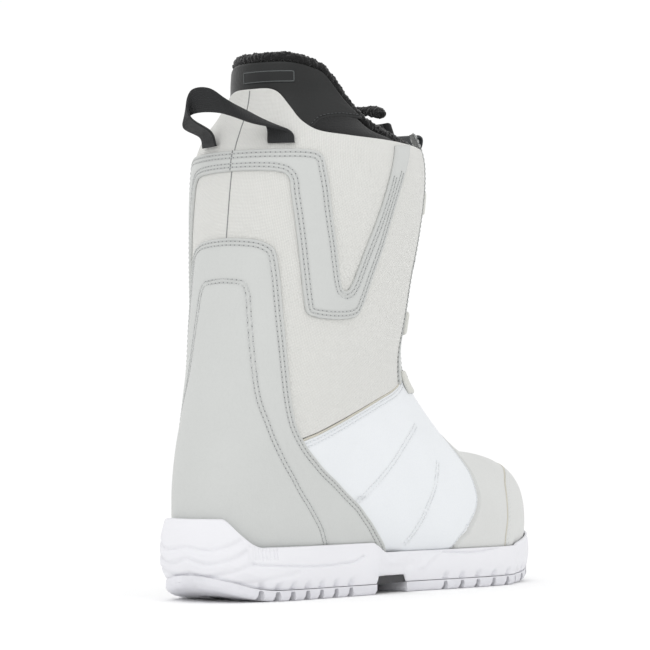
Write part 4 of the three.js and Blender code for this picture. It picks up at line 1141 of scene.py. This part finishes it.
strap("pull_loop_strap", [
    (plain_foot(26, 243.5, 2.4), (-0.9, -0.42, 0)),
    (plain_foot(23, 251, 5), (-0.86, -0.4, -0.3)),
    ((-11.5, 121, 259.5), (-0.6, -0.35, -0.72)),
    ((0, 130, 266), (-0.12, -0.5, -0.86)),
    ((12, 134.5, 265), (0.35, -0.6, -0.72)),
    ((19, 129.5, 256), (0.75, -0.55, -0.3)),
    (plain_foot(-20, 248.5, 7), (0.86, -0.45, -0.1)),
    (plain_foot(-19, 243.5, 2.4), (0.92, -0.38, 0)),
], 15, 1.5, 13, 150, strap_webbing, "pull_loop", ("heel_pull_loop",))

strap("tongue_pull", [
    ((-7, -31.6, 245), (1, 0, 0)),
    ((-7, -35.5, 254), (1, 0, 0)),
    ((-7.4, -42, 261), (1, 0.1, 0)),
    ((-7.8, -47.5, 260.5), (1, 0.1, 0)),
    ((-7.6, -46.5, 255), (1, 0.1, 0)),
    ((-7, -40.5, 249), (1, 0, 0)),
], 15, 1.5, 9, 90, tab_webbing, "tongue", ("tongue_pull_tab",))

# ---------------------------------------------------------------- sole

RING_Z = np.arange(13.5, 46.1, 0.5)
RING_SHARE = np.linspace(-1, 1, 801)
RING = np.stack([skin_point(*level(RING_SHARE, float(z))) for z in RING_Z])
RING[:, 0] = RING[:, -1]
_run = RING[:, np.r_[1:801, 1]] - RING[:, np.r_[799, 0:800]]
_run[..., 2] = 0
RING_RUN = unit(_run)


def ground_z(y):
    return 11 * (np.maximum(-92 - y, 0) / 58) ** 2 + 9 * (np.maximum(y - 112, 0) / 40) ** 2


def rim_z(x, y):
    """Height of the rim: a tab up the heel, a step down at the arch, and a lifted toe."""
    tab = np.where(y > 80, 15.3 * (1 - smooth(np.abs(x), 13, 23)), 0)
    return 22.8 + 5.9 * smooth(y, 27, 41) + tab + 8.5 * smooth(-y, 82, 146)


def around_foot(share, z, out):
    """Plan positions round the foot at a height, pushed out."""
    share, z, out = np.broadcast_arrays(share, z, out)
    k = np.clip((z - RING_Z[0]) / 0.5, 0, len(RING_Z) - 1.001)
    j = np.clip((share + 1) * 400, 0, 799.999)
    a, b = k.astype(int), j.astype(int)
    f, g = (k - a)[..., None], (j - b)[..., None]

    def sample(table):
        return mix(mix(table[a, b], table[a, b + 1], g), mix(table[a + 1, b], table[a + 1, b + 1], g), f)

    p, run = sample(RING), unit(sample(RING_RUN))
    return np.stack([p[..., 0] - run[..., 1] * out, p[..., 1] + run[..., 0] * out], -1)


def rim_plan(share, extra, carve=0.0):
    """Plan position of the sole's wall, `extra` outside the upper, and the rim's height there."""
    share, extra, carve = np.broadcast_arrays(share, extra, carve)
    x, y = np.moveaxis(around_foot(share, 26.0, 0.0), -1, 0)
    top = rim_z(x, y)
    cover = mix(SHELL[1], OVERLAY[1], smooth(y, 8, 22)) + GAP + 0.4
    flare = np.where(extra > 0, HEEL_FLARE * smooth(y, 70, 132) * np.minimum(extra / 2, 1), 0)
    heights = (19.0 + 0 * top, (19 + top) / 2, top)
    options = np.stack([around_foot(share, h, cover + extra + flare + carve) for h in heights])
    away = np.hypot(options[..., 0], options[..., 1] * 0.4)
    weight = np.exp((away - away.max(0)) / 0.2)
    return (options * weight[..., None]).sum(0) / weight.sum(0)[..., None], top


WALL_POINTS = 1100
RELIEF, NOTCH, GROOVE_DEPTH = 1.45, 1.9, 5.0
wall_share = np.linspace(-1, 1, WALL_POINTS, endpoint=False)
wall_plan = rim_plan(wall_share, 1.0)[0]
_far = np.append(0, np.cumsum(np.linalg.norm(np.diff(wall_plan, axis=0), axis=1)))
_toe = np.interp(0, wall_share, _far)
WALL_ARC = _toe - np.abs(_far - _toe) * _toe / np.where(_far > _toe, _far[-1] - _toe, _toe)


def arc_at(y):
    """Distance round the wall from the middle of the heel to this y on the outer side."""
    outer = wall_share > 0.004
    order = np.argsort(wall_plan[outer, 1])
    return float(np.interp(y, wall_plan[outer, 1][order], WALL_ARC[outer][order]))


def with_halfways(places):
    """Places with one more halfway between each two, in order."""
    places = sorted(places)
    return sorted(places + [(a + b) / 2 for a, b in zip(places, places[1:])])


def wall_lines():
    """Lines moulded in the wall: points [distance from the heel, height], depth and width."""
    toe = float(WALL_ARC.max())
    heel_groove = [(arc_at(132), 19.9), (arc_at(91), 17.7), (arc_at(61), 18.7), (arc_at(51), 21.5)]
    toe_groove = [(arc_at(-20.5), 21.6), (arc_at(-43.2), 20.2), (arc_at(-64.1), 21.8), (arc_at(-93), 25.2),
                  (arc_at(-114), 26.8), (arc_at(-132), 27.4), (toe, 27.6)]
    lines = [
        ([(0, 29.2), (7, 28.1), (13, 27.6), (21, 29.6), (28, 33.0)], -0.75, 1.0),
        ([(0, 23.4), (6, 21.4), (12, 20.2), (24, 23.2), (31, 27.4)], -0.85, 1.1),
        ([(0, 15.4), (9, 13.4), (24, 16.2), (35, 20.5)], -0.75, 1.2),
        ([(14, 9.6), (34, 10.2), (52, 12.6), (66, 15.0)], -0.6, 1.5),
        (heel_groove, -0.75, 0.7),
        (toe_groove, -0.75, 0.7),
        ([(arc_at(-4), 14.0), (arc_at(-10), 18.5), (arc_at(-20.5), 24.6)], 0.9, 2.2),
        ([(arc_at(4), 15.5), (arc_at(18), 14.2), (arc_at(34), 16.4)], -0.5, 2.6),
    ]
    first = arc_at(134)
    for k in range(8):
        along = first + 2.9 * k - 0.06 * k * k
        lines.append(([(along, 22.8), (along, 29.4 - 0.12 * k)], -0.62, 0.62))
    for y in (*with_halfways(FOREFOOT_GROOVES), *with_halfways(HEEL_GROOVES)):
        low = float(ground_z(np.float64(y))) + TREAD
        lines.append(([(arc_at(y), low - 2), (arc_at(y), low + 1.6)], -1.5, NOTCH))
    return lines


def carving(arc, z):
    """How far the wall's moulded lines push its surface out, or in where below zero."""
    depth = np.zeros(arc.shape)
    for points, amount, width in wall_lines():
        if len(points) > 2:
            points = smooth_path([(*p, 0.0) for p in points], 60)[:, :2]
        path = np.array([(a, b, 0.0) for a, b in np.asarray(points)])
        low, high = path.min(0) - 3 * width, path.max(0) + 3 * width
        near = (arc > low[0]) & (arc < high[0]) & (z > low[1]) & (z < high[1])
        d = distance_to(np.stack([arc[near], z[near], 0 * z[near]], 1), path)
        depth[near] += amount * RELIEF * np.exp(-((d / width) ** 2))
    return depth


def ring_cap(n, start, flip):
    """Faces across a ring of points, from one side of the foot to the other."""
    i = np.arange(1, n // 2 - 1)
    strip = np.stack([i, i + 1, n - 1 - i, n - i], 1)
    ends = np.array([[0, 1, n - 1, n - 1], [n // 2 - 1, n // 2, n // 2 + 1, n // 2 + 1]])
    faces = np.concatenate([strip, ends]) + start
    return faces[:, ::-1] if flip else faces


def underside(y):
    arch = smooth(y, ARCH_FRONT, ARCH_FRONT + 2.5) * (1 - smooth(y, ARCH_BACK - 2.5, ARCH_BACK))
    flat = ground_z(y) + TREAD
    return mix(flat, TREAD + ARCH_RISE, arch)


def make_midsole():
    share, arc = wall_share[None], WALL_ARC[None]
    profile = smooth_path([(1, 1.5, 0), (0.62, 2.3, 0), (0.3, 2.1, 0), (0, 0.8, 0)], 60)
    t = np.concatenate([[0.985, 0.965, 0.94], np.linspace(0.915, 0.06, 40), [0.035, 0.015]])
    extra = np.interp(t, profile[::-1, 0], profile[::-1, 1])
    extra -= 0.35 * np.exp(-((t / 0.03) ** 2))
    plan, top = rim_plan(share, extra[:, None])
    z = mix(underside(plan[..., 1]), top, t[:, None])
    carve = carving(np.broadcast_to(arc, z.shape), z) * smooth(top - z, 0.3, 1.6)
    plan, _ = rim_plan(share, extra[:, None], carve)
    outer = np.dstack([plan, z])
    rings = []
    for out, drop in ((0.0, 99.0), (0.0, 3.0), (0.02, 0.9), (0.1, 0.35), (0.35, 0.06), (0.75, 0.0), (1.1, 0.05),
                      (1.35, 0.22)):
        plan, top = rim_plan(wall_share, out)
        level_z = np.full(WALL_POINTS, FLOOR_Z) if drop > 50 else np.maximum(top - drop, FLOOR_Z + 0.2)
        rings.append(np.column_stack([plan, level_z]))
    rings += list(outer)
    for out in (0.55, -0.4):
        plan, _ = rim_plan(wall_share, out)
        rings.append(np.column_stack([plan, underside(plan[:, 1])]))
    rings = np.stack(rings)
    rows = len(rings)
    i, j = np.meshgrid(np.arange(rows - 1), np.arange(WALL_POINTS), indexing="ij")
    a, b = (i * WALL_POINTS + j).ravel(), (i * WALL_POINTS + (j + 1) % WALL_POINTS).ravel()
    sides = np.stack([a, b, b + WALL_POINTS, a + WALL_POINTS], 1)
    faces = np.concatenate([sides, ring_cap(WALL_POINTS, 0, True),
                            ring_cap(WALL_POINTS, (rows - 1) * WALL_POINTS, False)])
    piece("midsole_foam", rings, faces, sole_foam, "boot", "sole_foam", ("midsole",), sharp=55)


def make_tread(name, low, high, grooves):
    """Outsole between two y positions: lugs with rounded edges, a channel, and grooves between them."""
    grooves = with_halfways(grooves)
    plan, _ = rim_plan(RING_SHARE, 1.0)
    halves = [plan[RING_SHARE >= 0], plan[RING_SHARE <= 0][::-1]]
    ends = plan[:, 1].min() + 0.04, plan[:, 1].max() - 0.04
    first, last = max(low, ends[0]), min(high, ends[1])
    rows = set(np.round(np.linspace(first, last, int((last - first) / 0.85)), 3))
    for tip, inside in ((ends[0], 1), (ends[1], -1)):
        if abs(tip - (first if inside > 0 else last)) < 0.01:
            rows |= set(np.round(tip + inside * 6 * np.linspace(0, 1, 14) ** 2, 3))
    for g in grooves:
        rows |= {g + k * NOTCH for k in (-1.5, -1.3, -1.15, -1.0, -0.8, -0.55, 0.55, 0.8, 1.0, 1.15, 1.3, 1.5)}
    y = np.array(sorted(rows))
    y = y[np.append(True, np.diff(y) > 0.12)]
    left, right = [np.interp(y, half[:, 1], half[:, 0]) for half in halves]
    v = np.linspace(-1, 1, 97)[None]
    middle, half = ((left + right) / 2)[:, None], ((right - left) / 2)[:, None]
    side_ = np.sign(v) * mix(14.0, np.maximum(half, 20), np.clip((np.abs(v) - 0.3) / 0.7, 0, 1))
    straight = np.where(np.abs(v) < 0.3, v / 0.3 * 14, side_ - middle * np.sign(v) * 0)
    x = mix(middle + v * half, straight + middle * np.clip((np.abs(v) - 0.3) / 0.7, 0, 1), smooth(half, 22, 32))
    x = np.clip(x, left[:, None], right[:, None])
    yy = np.broadcast_to(y[:, None], x.shape)
    border = distance_to(np.dstack([x, yy, 0 * x]), np.column_stack([plan, 0 * plan[:, 0]]))
    border = np.minimum(border, np.where(low > ends[0], yy - low, 99))
    border = np.minimum(border, np.where(high < ends[1], high - yy, 99))
    bevel = 2.4 * (1 - np.sqrt(1 - (1 - np.clip(border / 2.4, 0, 1)) ** 2))
    cut = np.zeros(x.shape)
    for g in grooves:
        cut = np.maximum(cut, GROOVE_DEPTH * (1 - smooth(np.abs(yy - g), NOTCH * 0.62, NOTCH * 1.35)))
    ground = ground_z(yy)
    channel = np.clip((7.4 - np.abs(x)) / 0.8, 0, 1) * np.maximum(2.6 - ground, 0)
    lane = 1.7 * np.clip((1.5 - np.abs(np.abs(x) - 27)) / 0.6, 0, 1) * (border > 9)
    z = ground + np.maximum.reduce([bevel, cut, channel, lane])
    bottom = np.dstack([x, yy, z])
    top = np.dstack([x, yy, ground + TREAD - GAP])
    points, faces = closed(top, bottom)
    piece(f"{name}_tread", points, faces, tread_rubber, "boot", "rubber", (name,), sharp=42)


make_midsole()
make_tread("forefoot_outsole", -400, ARCH_FRONT, FOREFOOT_GROOVES)
make_tread("heel_outsole", ARCH_BACK, 400, HEEL_GROOVES)

# ---------------------------------------------------------------- tongue and dial


def front_line(q0, q1, edge):
    def line(t):
        q = mix(q0, q1, np.asarray(t, float))
        return q, edge(q)

    return line


def make_tongues():
    top = float(leg(180.0, 254.0)[0])
    foot = THROAT_Q + 0.28
    line = front_line(foot, top, lambda q: front_edge(q) + 1.8)
    stitching = Stitching()
    rows = stitching.rows_in(part_of(line, 0.03, 0.99), -1, TONGUE[1] - 0.2, (2.2, 4.3))
    rows += stitching.rows_in(turned(part_of(line, 0.03, 0.99)), 1, TONGUE[1] - 0.2, (2.2, 4.3))
    notches = []
    for z in (108, 123, 144, 155, 177, 210, 224, 238):
        angle = np.linspace(163, 197, 40)
        notches.append(leg(angle, z - 2.5 * np.cos(np.radians((angle - 180) * 5))))
    sewn_panel("tongue_panel", line, turned(line), 200, 110, TONGUE, grey_leather, "leatherette", "tongue",
               ("shell_tongue",), rows + notches, radius=1.2, thin=0.55, puff=0.0, depth=0.3)
    stitching.finish("tongue", grey_thread, hole_and_seam_shade, "leatherette", "tongue")

    inner_top = float(leg(180.0, 268.0)[0])
    line = front_line(foot + 0.3, inner_top, lambda q: front_edge(q) + 5.5)
    pads = []
    for z in (126, 152, 178, 204, 230, 252):
        angle = np.linspace(158, 202, 40)
        pads.append(leg(angle, z + 0 * angle))
    pad = sewn_panel("liner_tongue_pad", line, turned(line), 150, 90, LINER_TONGUE, liner_cloth, "liner_foam",
                     "liner_tongue", ("liner_tongue",), pads, radius=2.6, thin=0.3, puff=-0.2, depth=0.9)

    angle = np.linspace(-24, 24, 130)
    z = 275 - 3 * (angle / 24) ** 2
    lobes = 3.55 * (1 - 0.2 * np.exp(-((angle / 4.5) ** 2))) * np.sqrt(1 - np.clip(np.abs(angle) / 25.5, 0, 1) ** 6)
    path = skin(*leg(180 - angle, z), -6.7 + 0 * angle)
    points, faces = tube_parts(path, lobes, 40, up=(0, 0, 1))
    roll = piece("liner_tongue_roll_pad", curled(points, path, 0.75), faces, fleece, "liner_tongue", "fleece",
                 ("liner_tongue_roll",))


def curled(points, path, amount, size=2.3):
    """Points of a tube pushed in and out like curls of pile, never further out than the tube."""
    middle = np.array([path[np.argmin(((path - p) ** 2).sum(1))] for p in points])
    away = unit(points - middle)
    push = []
    for p in points:
        lump = noise.voronoi(Vector(p / size))[0][0]
        push.append(0.35 - 1.5 * min(lump, 0.75) + 0.35 * noise.noise(Vector(p / 0.9)))
    return points + away * (np.array(push) * amount)[:, None]


DIAL_Z, DIAL_LIFT, KNOB_RADIUS, LACE_HEIGHT = 192.0, 3.2, 14.6, 4.2
dial_q = leg(180.0, DIAL_Z)[0]
dial_at = skin_point(dial_q, 180.0) + normal_at(dial_q, 180.0) * DIAL_LIFT
dial_out = normal_at(dial_q, 180.0)
dial_across = np.array([-1.0, 0, 0])
dial_up = np.cross(dial_out, dial_across)


def on_dial(points):
    points = np.asarray(points, float)
    return dial_at + points[..., :1] * dial_across + points[..., 1:2] * dial_up + points[..., 2:] * dial_out


def rounded_profile(corners, radius):
    """Closed or open line of corners with each corner cut round."""
    p = np.array(corners, float)
    out = []
    for k, b in enumerate(p):
        if k in (0, len(p) - 1):
            out.append(b)
            continue
        a, c = p[k - 1], p[k + 1]
        ra = min(radius, 0.45 * np.linalg.norm(a - b))
        rc = min(radius, 0.45 * np.linalg.norm(c - b))
        start, end = b + unit(a - b) * ra, b + unit(c - b) * rc
        for t in (0, 0.25, 0.5, 0.75, 1):
            out.append((1 - t) ** 2 * start + 2 * t * (1 - t) * b + t * t * end)
    return np.array(out)


def turned_piece(name, corners, radius, material, body, slot, replaces=(), knurls=0, knurl=0.0, segments=120):
    """Solid of revolution about the dial's axis, with knurls round it if asked."""
    profile = rounded_profile(corners, radius)
    turn = np.linspace(0, 2 * np.pi, segments, endpoint=False)
    r = np.broadcast_to(profile[:, :1], (len(profile), segments)).copy()
    if knurls:
        outside = smooth(profile[:, 0], profile[:, 0].max() - 1.2, profile[:, 0].max())[:, None]
        r += knurl * outside * (np.abs(np.cos(knurls * turn / 2)) ** 0.6 - 1)
    z = np.broadcast_to(profile[:, 1:], r.shape)
    points = on_dial(np.dstack([r * np.cos(turn), r * np.sin(turn), z]))
    rows = len(profile)
    i, j = np.meshgrid(np.arange(rows - 1), np.arange(segments), indexing="ij")
    a, b = (i * segments + j).ravel(), (i * segments + (j + 1) % segments).ravel()
    faces = np.stack([a, b, b + segments, a + segments], 1)
    keep = np.ones(len(faces), bool)
    points = points.reshape(-1, 3)
    extra = []
    for row, flip in ((0, False), (rows - 1, True)):
        if profile[row, 0] < 1e-6:
            points[row * segments:(row + 1) * segments] = points[row * segments]
    index = np.arange(len(points))
    for row in (0, rows - 1):
        if profile[row, 0] < 1e-6:
            index[row * segments:(row + 1) * segments] = row * segments
    if np.allclose(profile[0], profile[-1]):
        index[(rows - 1) * segments:] = np.arange(segments)
    faces = index[faces][keep]
    used = np.unique(faces)
    remap = np.zeros(len(points), int)
    remap[used] = np.arange(len(used))
    piece(name, points[used], remap[faces], material, body, slot, replaces, sharp=50)


def make_dial():
    bore = 2.15
    turned_piece("dial_mount", [(0, -3.6), (14, -3.6), (17, -1.6), (17, 0), (0, 0)], 0.5, black_plastic, "tongue",
                 "plastic", ("dial_saddle",))
    turned_piece("dial_housing", [(bore, 0.4), (16, 0.4), (16, 6.6), (15.2, 7.4), (10.4, 7.4), (10.4, 2.4),
                                  (bore, 2.4), (bore, 0.4)], 0.5, grey_plastic, "tongue", "plastic", ("dial_base",))
    turned_piece("dial_turning_knob", [(8.6, 9.5), (12.9, 9.5), (12.9, 15.2), (bore, 15.2), (bore, 13), (8.6, 13),
                                       (8.6, 9.5)], 0.4, black_plastic, "dial_knob", "plastic", ("dial_knob",))
    turned_piece("dial_grip_ring", [(13.25, 9.7), (15.2, 9.7), (15.2, 14.7), (13.25, 14.7), (13.25, 9.7)], 0.7,
                 knob_rubber, "dial_knob", "dial_rubber", ("dial_grip",), 22, 0.75, 352)
    turned_piece("dial_cap_disc", [(0, 15.6), (8.4, 15.6), (8.4, 16.3), (7.2, 16.5), (6.9, 16.2), (6.2, 16.2),
                                   (5.9, 16.5), (0, 16.5)], 0.16, grey_plastic, "dial_knob", "plastic", ("dial_cap",))


# ---------------------------------------------------------------- lace and guides

LACE_LIFT = 2.85
SHELL_GUIDES = (("cuff", 219.0), ("ankle", 151.0), ("instep", 117.0))
TONGUE_GUIDES = (("upper", 166.0), ("lower", 133.0))


def lace_turn(z, mouth, bend):
    """Turn of the lace inside a guide: in, round and out."""
    between = mix(mouth, bend, 0.72)
    stations = [(mouth, z + 3.4), (between, z + 3), (bend, z), (between, z - 3), (mouth, z - 3.4)]
    return [skin_at(angle, height, LACE_LIFT) for angle, height in stations]


def skin_at(angle, height, lift):
    q, angle = leg(float(angle), float(height))
    return skin_point(q, angle) + normal_at(q, angle) * lift


def lace_path(sign):
    """Run of the lace on one side, from the dial through the guides."""
    out = [on_dial(np.array([sign * 10.8, 0, LACE_HEIGHT])), on_dial(np.array([sign * 17, 0, LACE_HEIGHT - 0.2]))]
    shell = [lace_turn(z, sign * 145.6, sign * 139.8) for _, z in SHELL_GUIDES]
    tongue = [lace_turn(z, sign * 170.5, sign * 176.6) for _, z in TONGUE_GUIDES]
    runs = shell[0][::-1] + tongue[0] + shell[1] + tongue[1] + shell[2][:3]
    return np.array(out + runs)


def guide(name, z, angle, half_angle, half_height, layer, body, material=black_plastic):
    """Rounded block over a patch of the skin."""
    low, high = [leg(angle + k * half_angle, z + 0.0) for k in (-1, 1)]
    heights = np.linspace(z - half_height, z + half_height, 9)
    lines = [seam([leg(angle + k * half_angle, h) for h in heights]) for k in (-1, 1)]
    sewn_panel(f"{name}_block", *lines, 46, 40, layer, material, "plastic", body, (name,),
               radius=2.2, thin=0.3, puff=0.0)


def make_laces():
    for side_name, sign in (("lateral", 1), ("medial", -1)):
        path = smooth_path(lace_path(sign), 420)
        points, faces = tube_parts(path, 0.56, 12)
        cord = piece(f"lace_cord_{side_name}", points, faces, lace_cord, None, "lace",
                     (f"lace_{side_name}",), cord_uv(path, 12))
        reach = [(p + OFFSET) * MM for p in (skin_at(sign * 146.5, 170, 3), skin_at(sign * 168, 170, 3))]
        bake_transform(cord)
        for name, z in SHELL_GUIDES:
            guide(f"{name}_guide_{side_name}", z, sign * 141.6, 3.4, 6.6, (1.45, 3.85), "boot",
                  pale_plastic)
    for name, z in TONGUE_GUIDES:
        guide(f"tongue_guide_{name}", z, 180.0, 8.6, 6.8, (1.2, 4.25), "tongue")


make_tongues()
make_dial()
make_laces()

# ---------------------------------------------------------------- liner


def make_liner():
    edge = FRONT_EDGE + 1
    split = seam([leg(a, 140 + 8 * float(smooth(a / edge, 0.4, 1))) for a in np.linspace(0, edge, 9)])
    # Collar of leatherette over the back, down to a curved seam that meets the rim on each side.
    collar_foot = seam(on_leg([[0, 246], [20, 246], [33, 248], [42.4, 256], [47, 259.7], [56.4, 262], [67, 262.6],
                               [76, 262.2]]))
    rows = Stitching()
    q, angle, _ = even_places(round_the_back(part_of(collar_foot, 0.0, 0.97)), 1.0)
    a, b = moved_aside(q, angle, 1.8)
    rows.row(a, b, LINER[1] + 0.35, 2.4)
    rim_near = seam([leg(a_, float(height_at(LINER_RIM, a_)) - 2.6) for a_ in (0, 12, 24, 34, 45, 53, 64, 76.5)])
    collar = sewn_panel("liner_collar_pad", round_the_back(rim_near), round_the_back(collar_foot), 240, 90,
                        (-5.0, LINER[1] + 0.55), collar_leather, "liner_foam", replaces=("liner_cuff",),
                        seams=[(a, b)], puff=0.5, radius=1.6, thin=0.3)
    rows.finish("liner_collar", black_thread, black_hole_shade, "liner_foam")
    ribs = [leg(np.linspace(-edge, edge, 200), np.full(200, float(z))) for z in (165, 190, 215, 238)]
    body_rim = seam([leg(a_, float(height_at(LINER_RIM, a_)) - 3.2 * steepness(a_, edge)) for a_ in
                     (0, 15, 30, 38, 45, 53, 58, 64, 72, 81, 92, 105, 125, edge)])
    cuff = sewn_panel("liner_cuff_pad", round_the_back(split), round_the_back(body_rim), 240, 110,
                      (LINER[0], LINER[1] - 0.3), liner_cloth, "liner_foam", replaces=("liner_cuff",), seams=ribs,
                      puff=0.3, radius=2.5, thin=0.4, depth=0.7)

    angle = np.concatenate([[-edge], np.linspace(-edge + 0.6, edge - 0.6, 900), [edge]])
    path = skin(*leg(angle, height_at(LINER_RIM, angle)), (LINER[0] + LINER[1]) / 2 + 0 * angle)
    path = smooth_path(path[::12], 900)
    points, faces = tube_parts(path, 3.15, 26, up=(0.05, 0.1, 0.99))
    trim = piece("liner_fleece_roll", curled(points, path, 0.95, 2.1), faces, fleece, "boot", "fleece",
                 ("liner_fleece_trim",))

    vamp_back = seam([(8.05, 76), (8.1, 110), (8.2, 150), (8.2, 180)])
    vamp_y = float(skin_point(8.05, 76)[1])
    share = rising(lambda s: skin_point(*level(s, 24))[..., 1], np.array(vamp_y), 0.001, 0.999)
    vamp = sewn_panel("liner_vamp_pad", over_the_front(vamp_back),
                      over_the_front(lambda t: level(share * (1 - np.asarray(t, float)), 24)), 120, 60, LINER,
                      liner_cloth, "liner_foam", replaces=("liner_vamp",), ends=False, radius=2.5, thin=0.4)
    below = shifted(split, -0.08)
    throat = [(8.3, 142), (9.2, edge + 4), (10.4, edge + 1), tuple(float(v) for v in below(np.array(1.0)))]
    front = seam([(8.2, 76), (8.25, 105), *throat])
    share_heel = rising(lambda s: skin_point(*level(s, 24))[..., 1], np.array(vamp_y + 1.2), 0.001, 0.999)
    upper = round_the_back(backwards(chain((front, 0.45), (backwards(below), 1.0))))
    heel = sewn_panel("liner_heel_pad", upper,
                      round_the_back(lambda t: level(mix(1.0, share_heel, np.asarray(t, float)), 24)), 180, 80,
                      LINER, liner_cloth, "liner_foam", replaces=("liner_heel",), ends=False, radius=2.5, thin=0.4)


def steepness(angle, edge):
    """How much further down the slope a fixed distance from the fleece roll lies, where the rim is steep."""
    rise = height_at(LINER_RIM, min(angle + 3, edge)) - height_at(LINER_RIM, max(angle - 3, 0))
    return math.hypot(1, float(rise) / 5)


def label(name, angles, heights, layer, material, replaces, frame_material=None):
    lines = [seam([leg(a, z) for a in np.linspace(*angles, 5)]) for z in heights]
    sewn_panel(name, *lines, 60, 44, layer, material, "label", replaces=replaces, radius=0.5, thin=0.4)
    if frame_material is None:
        return
    inset_a, inset_z = 1.0, 0.9
    corners = [(angles[0] + inset_a, heights[0] + inset_z), (angles[1] - inset_a, heights[0] + inset_z),
               (angles[1] - inset_a, heights[1] - inset_z), (angles[0] + inset_a, heights[1] - inset_z)]
    loop = []
    for k, (a, z) in enumerate(corners):
        b, y = corners[(k + 1) % 4]
        loop += [(mix(a, b, t), mix(z, y, t)) for t in np.linspace(0.04, 0.96, 16)]
    loop.append(loop[0])
    angle, z = np.array(loop).T
    path = skin(*leg(angle, z), layer[1] + 0.02 + 0 * z)
    points, faces = tube_parts(path, 0.28, 8, closed_ends=True)
    piece(f"{name}_border", points, faces, frame_material, "boot", "label")


make_liner()
label("collar_badge", (-12, 33), (278.3, 285.8), (LINER[1] + 0.5, LINER[1] + 1.25), badge_leather,
      ("liner_badge",), badge_frame)
label("woven_tag", (85, 103), (244.5, 251), (LINER[1] + 0.1, LINER[1] + 0.95), label_cloth, ("liner_woven_label",))

# ---------------------------------------------------------------- carried-over parts

carried = {
    "arch_shank": shank_plastic, "heel_crash_pad": knob_rubber, "lasting_board": board_fibre,
    "shell_lining": lining_mesh, "toe_stiffener": board_fibre, "heel_counter": board_fibre,
    "liner_sole": liner_cloth, "footbed": board_fibre, "dial_axle": steel, "dial_spool": black_plastic,
    "dial_pawl_disc": grey_plastic, "dial_ratchet_ring": steel,
}
for node, finish in carried.items():
    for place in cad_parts[node].material_slots:
        place.material = finish

# ---------------------------------------------------------------- floor, light and camera


def make_stage():
    """Plain pale floor and a pale surround."""
    bpy.ops.mesh.primitive_circle_add(vertices=128, radius=40, fill_type="NGON", location=(0, 0, 0))
    floor = bpy.context.object
    floor.name = "floor"
    paper = bpy.data.materials.new("paper")
    paper.use_nodes = True
    shader = next(n for n in paper.node_tree.nodes if n.type == "BSDF_PRINCIPLED")
    shader.inputs["Base Color"].default_value = (1, 1, 1, 1)
    shader.inputs["Roughness"].default_value = 0.9
    shader.inputs["Specular IOR Level"].default_value = 0
    floor.data.materials.append(paper)
    world = bpy.data.worlds.new("surround")
    world.use_nodes = True
    background = next(n for n in world.node_tree.nodes if n.type == "BACKGROUND")
    background.inputs["Color"].default_value = (1, 1, 1, 1)
    background.inputs["Strength"].default_value = 1.02
    bpy.context.scene.world = world


def add_softbox(name, azimuth, elevation, distance, size, power):
    """Square soft light that looks at the middle of the boot, placed by bearing and height."""
    turn, rise = math.radians(azimuth), math.radians(elevation)
    aim = Vector((0, 0, 0.14))
    away = Vector((math.sin(turn) * math.cos(rise), -math.cos(turn) * math.cos(rise), math.sin(rise)))
    light = bpy.data.lights.new(name, "AREA")
    light.shape, light.size, light.energy = "SQUARE", size, power
    lamp = bpy.data.objects.new(name, light)
    lamp.location = aim + away * distance
    lamp.rotation_euler = away.to_track_quat("Z", "Y").to_euler()
    bpy.context.scene.collection.objects.link(lamp)


def make_camera():
    bearing = math.radians(CAMERA_BEARING)
    ahead = Vector((math.sin(bearing), -math.cos(bearing), 0))
    right = Vector((-math.cos(bearing), -math.sin(bearing), 0))
    sight = ahead - right * math.tan(math.radians(CAMERA_YAW)) + Vector((0, 0, math.tan(math.radians(CAMERA_TILT))))
    camera = bpy.data.cameras.new("camera")
    camera.lens, camera.sensor_width = CAMERA_LENS, 36
    camera.clip_start, camera.clip_end = 0.05, 100
    holder = bpy.data.objects.new("camera", camera)
    where = Vector(OFFSET) - ahead * CAMERA_DISTANCE + Vector((0, 0, CAMERA_HEIGHT))
    holder.location = where * MM
    holder.rotation_euler = (-sight).to_track_quat("Z", "Y").to_euler()
    bpy.context.scene.collection.objects.link(holder)
    bpy.context.scene.camera = holder


make_stage()
add_softbox("key", 190, 42, 1.6, 1.1, 2.6)
add_softbox("fill", 265, 25, 1.8, 1.2, 1.2)
add_softbox("back", 60, 40, 1.8, 1.2, 0.6)
make_camera()
bpy.context.scene.view_settings.view_transform = "Standard"
bpy.context.scene.view_settings.look = "None"
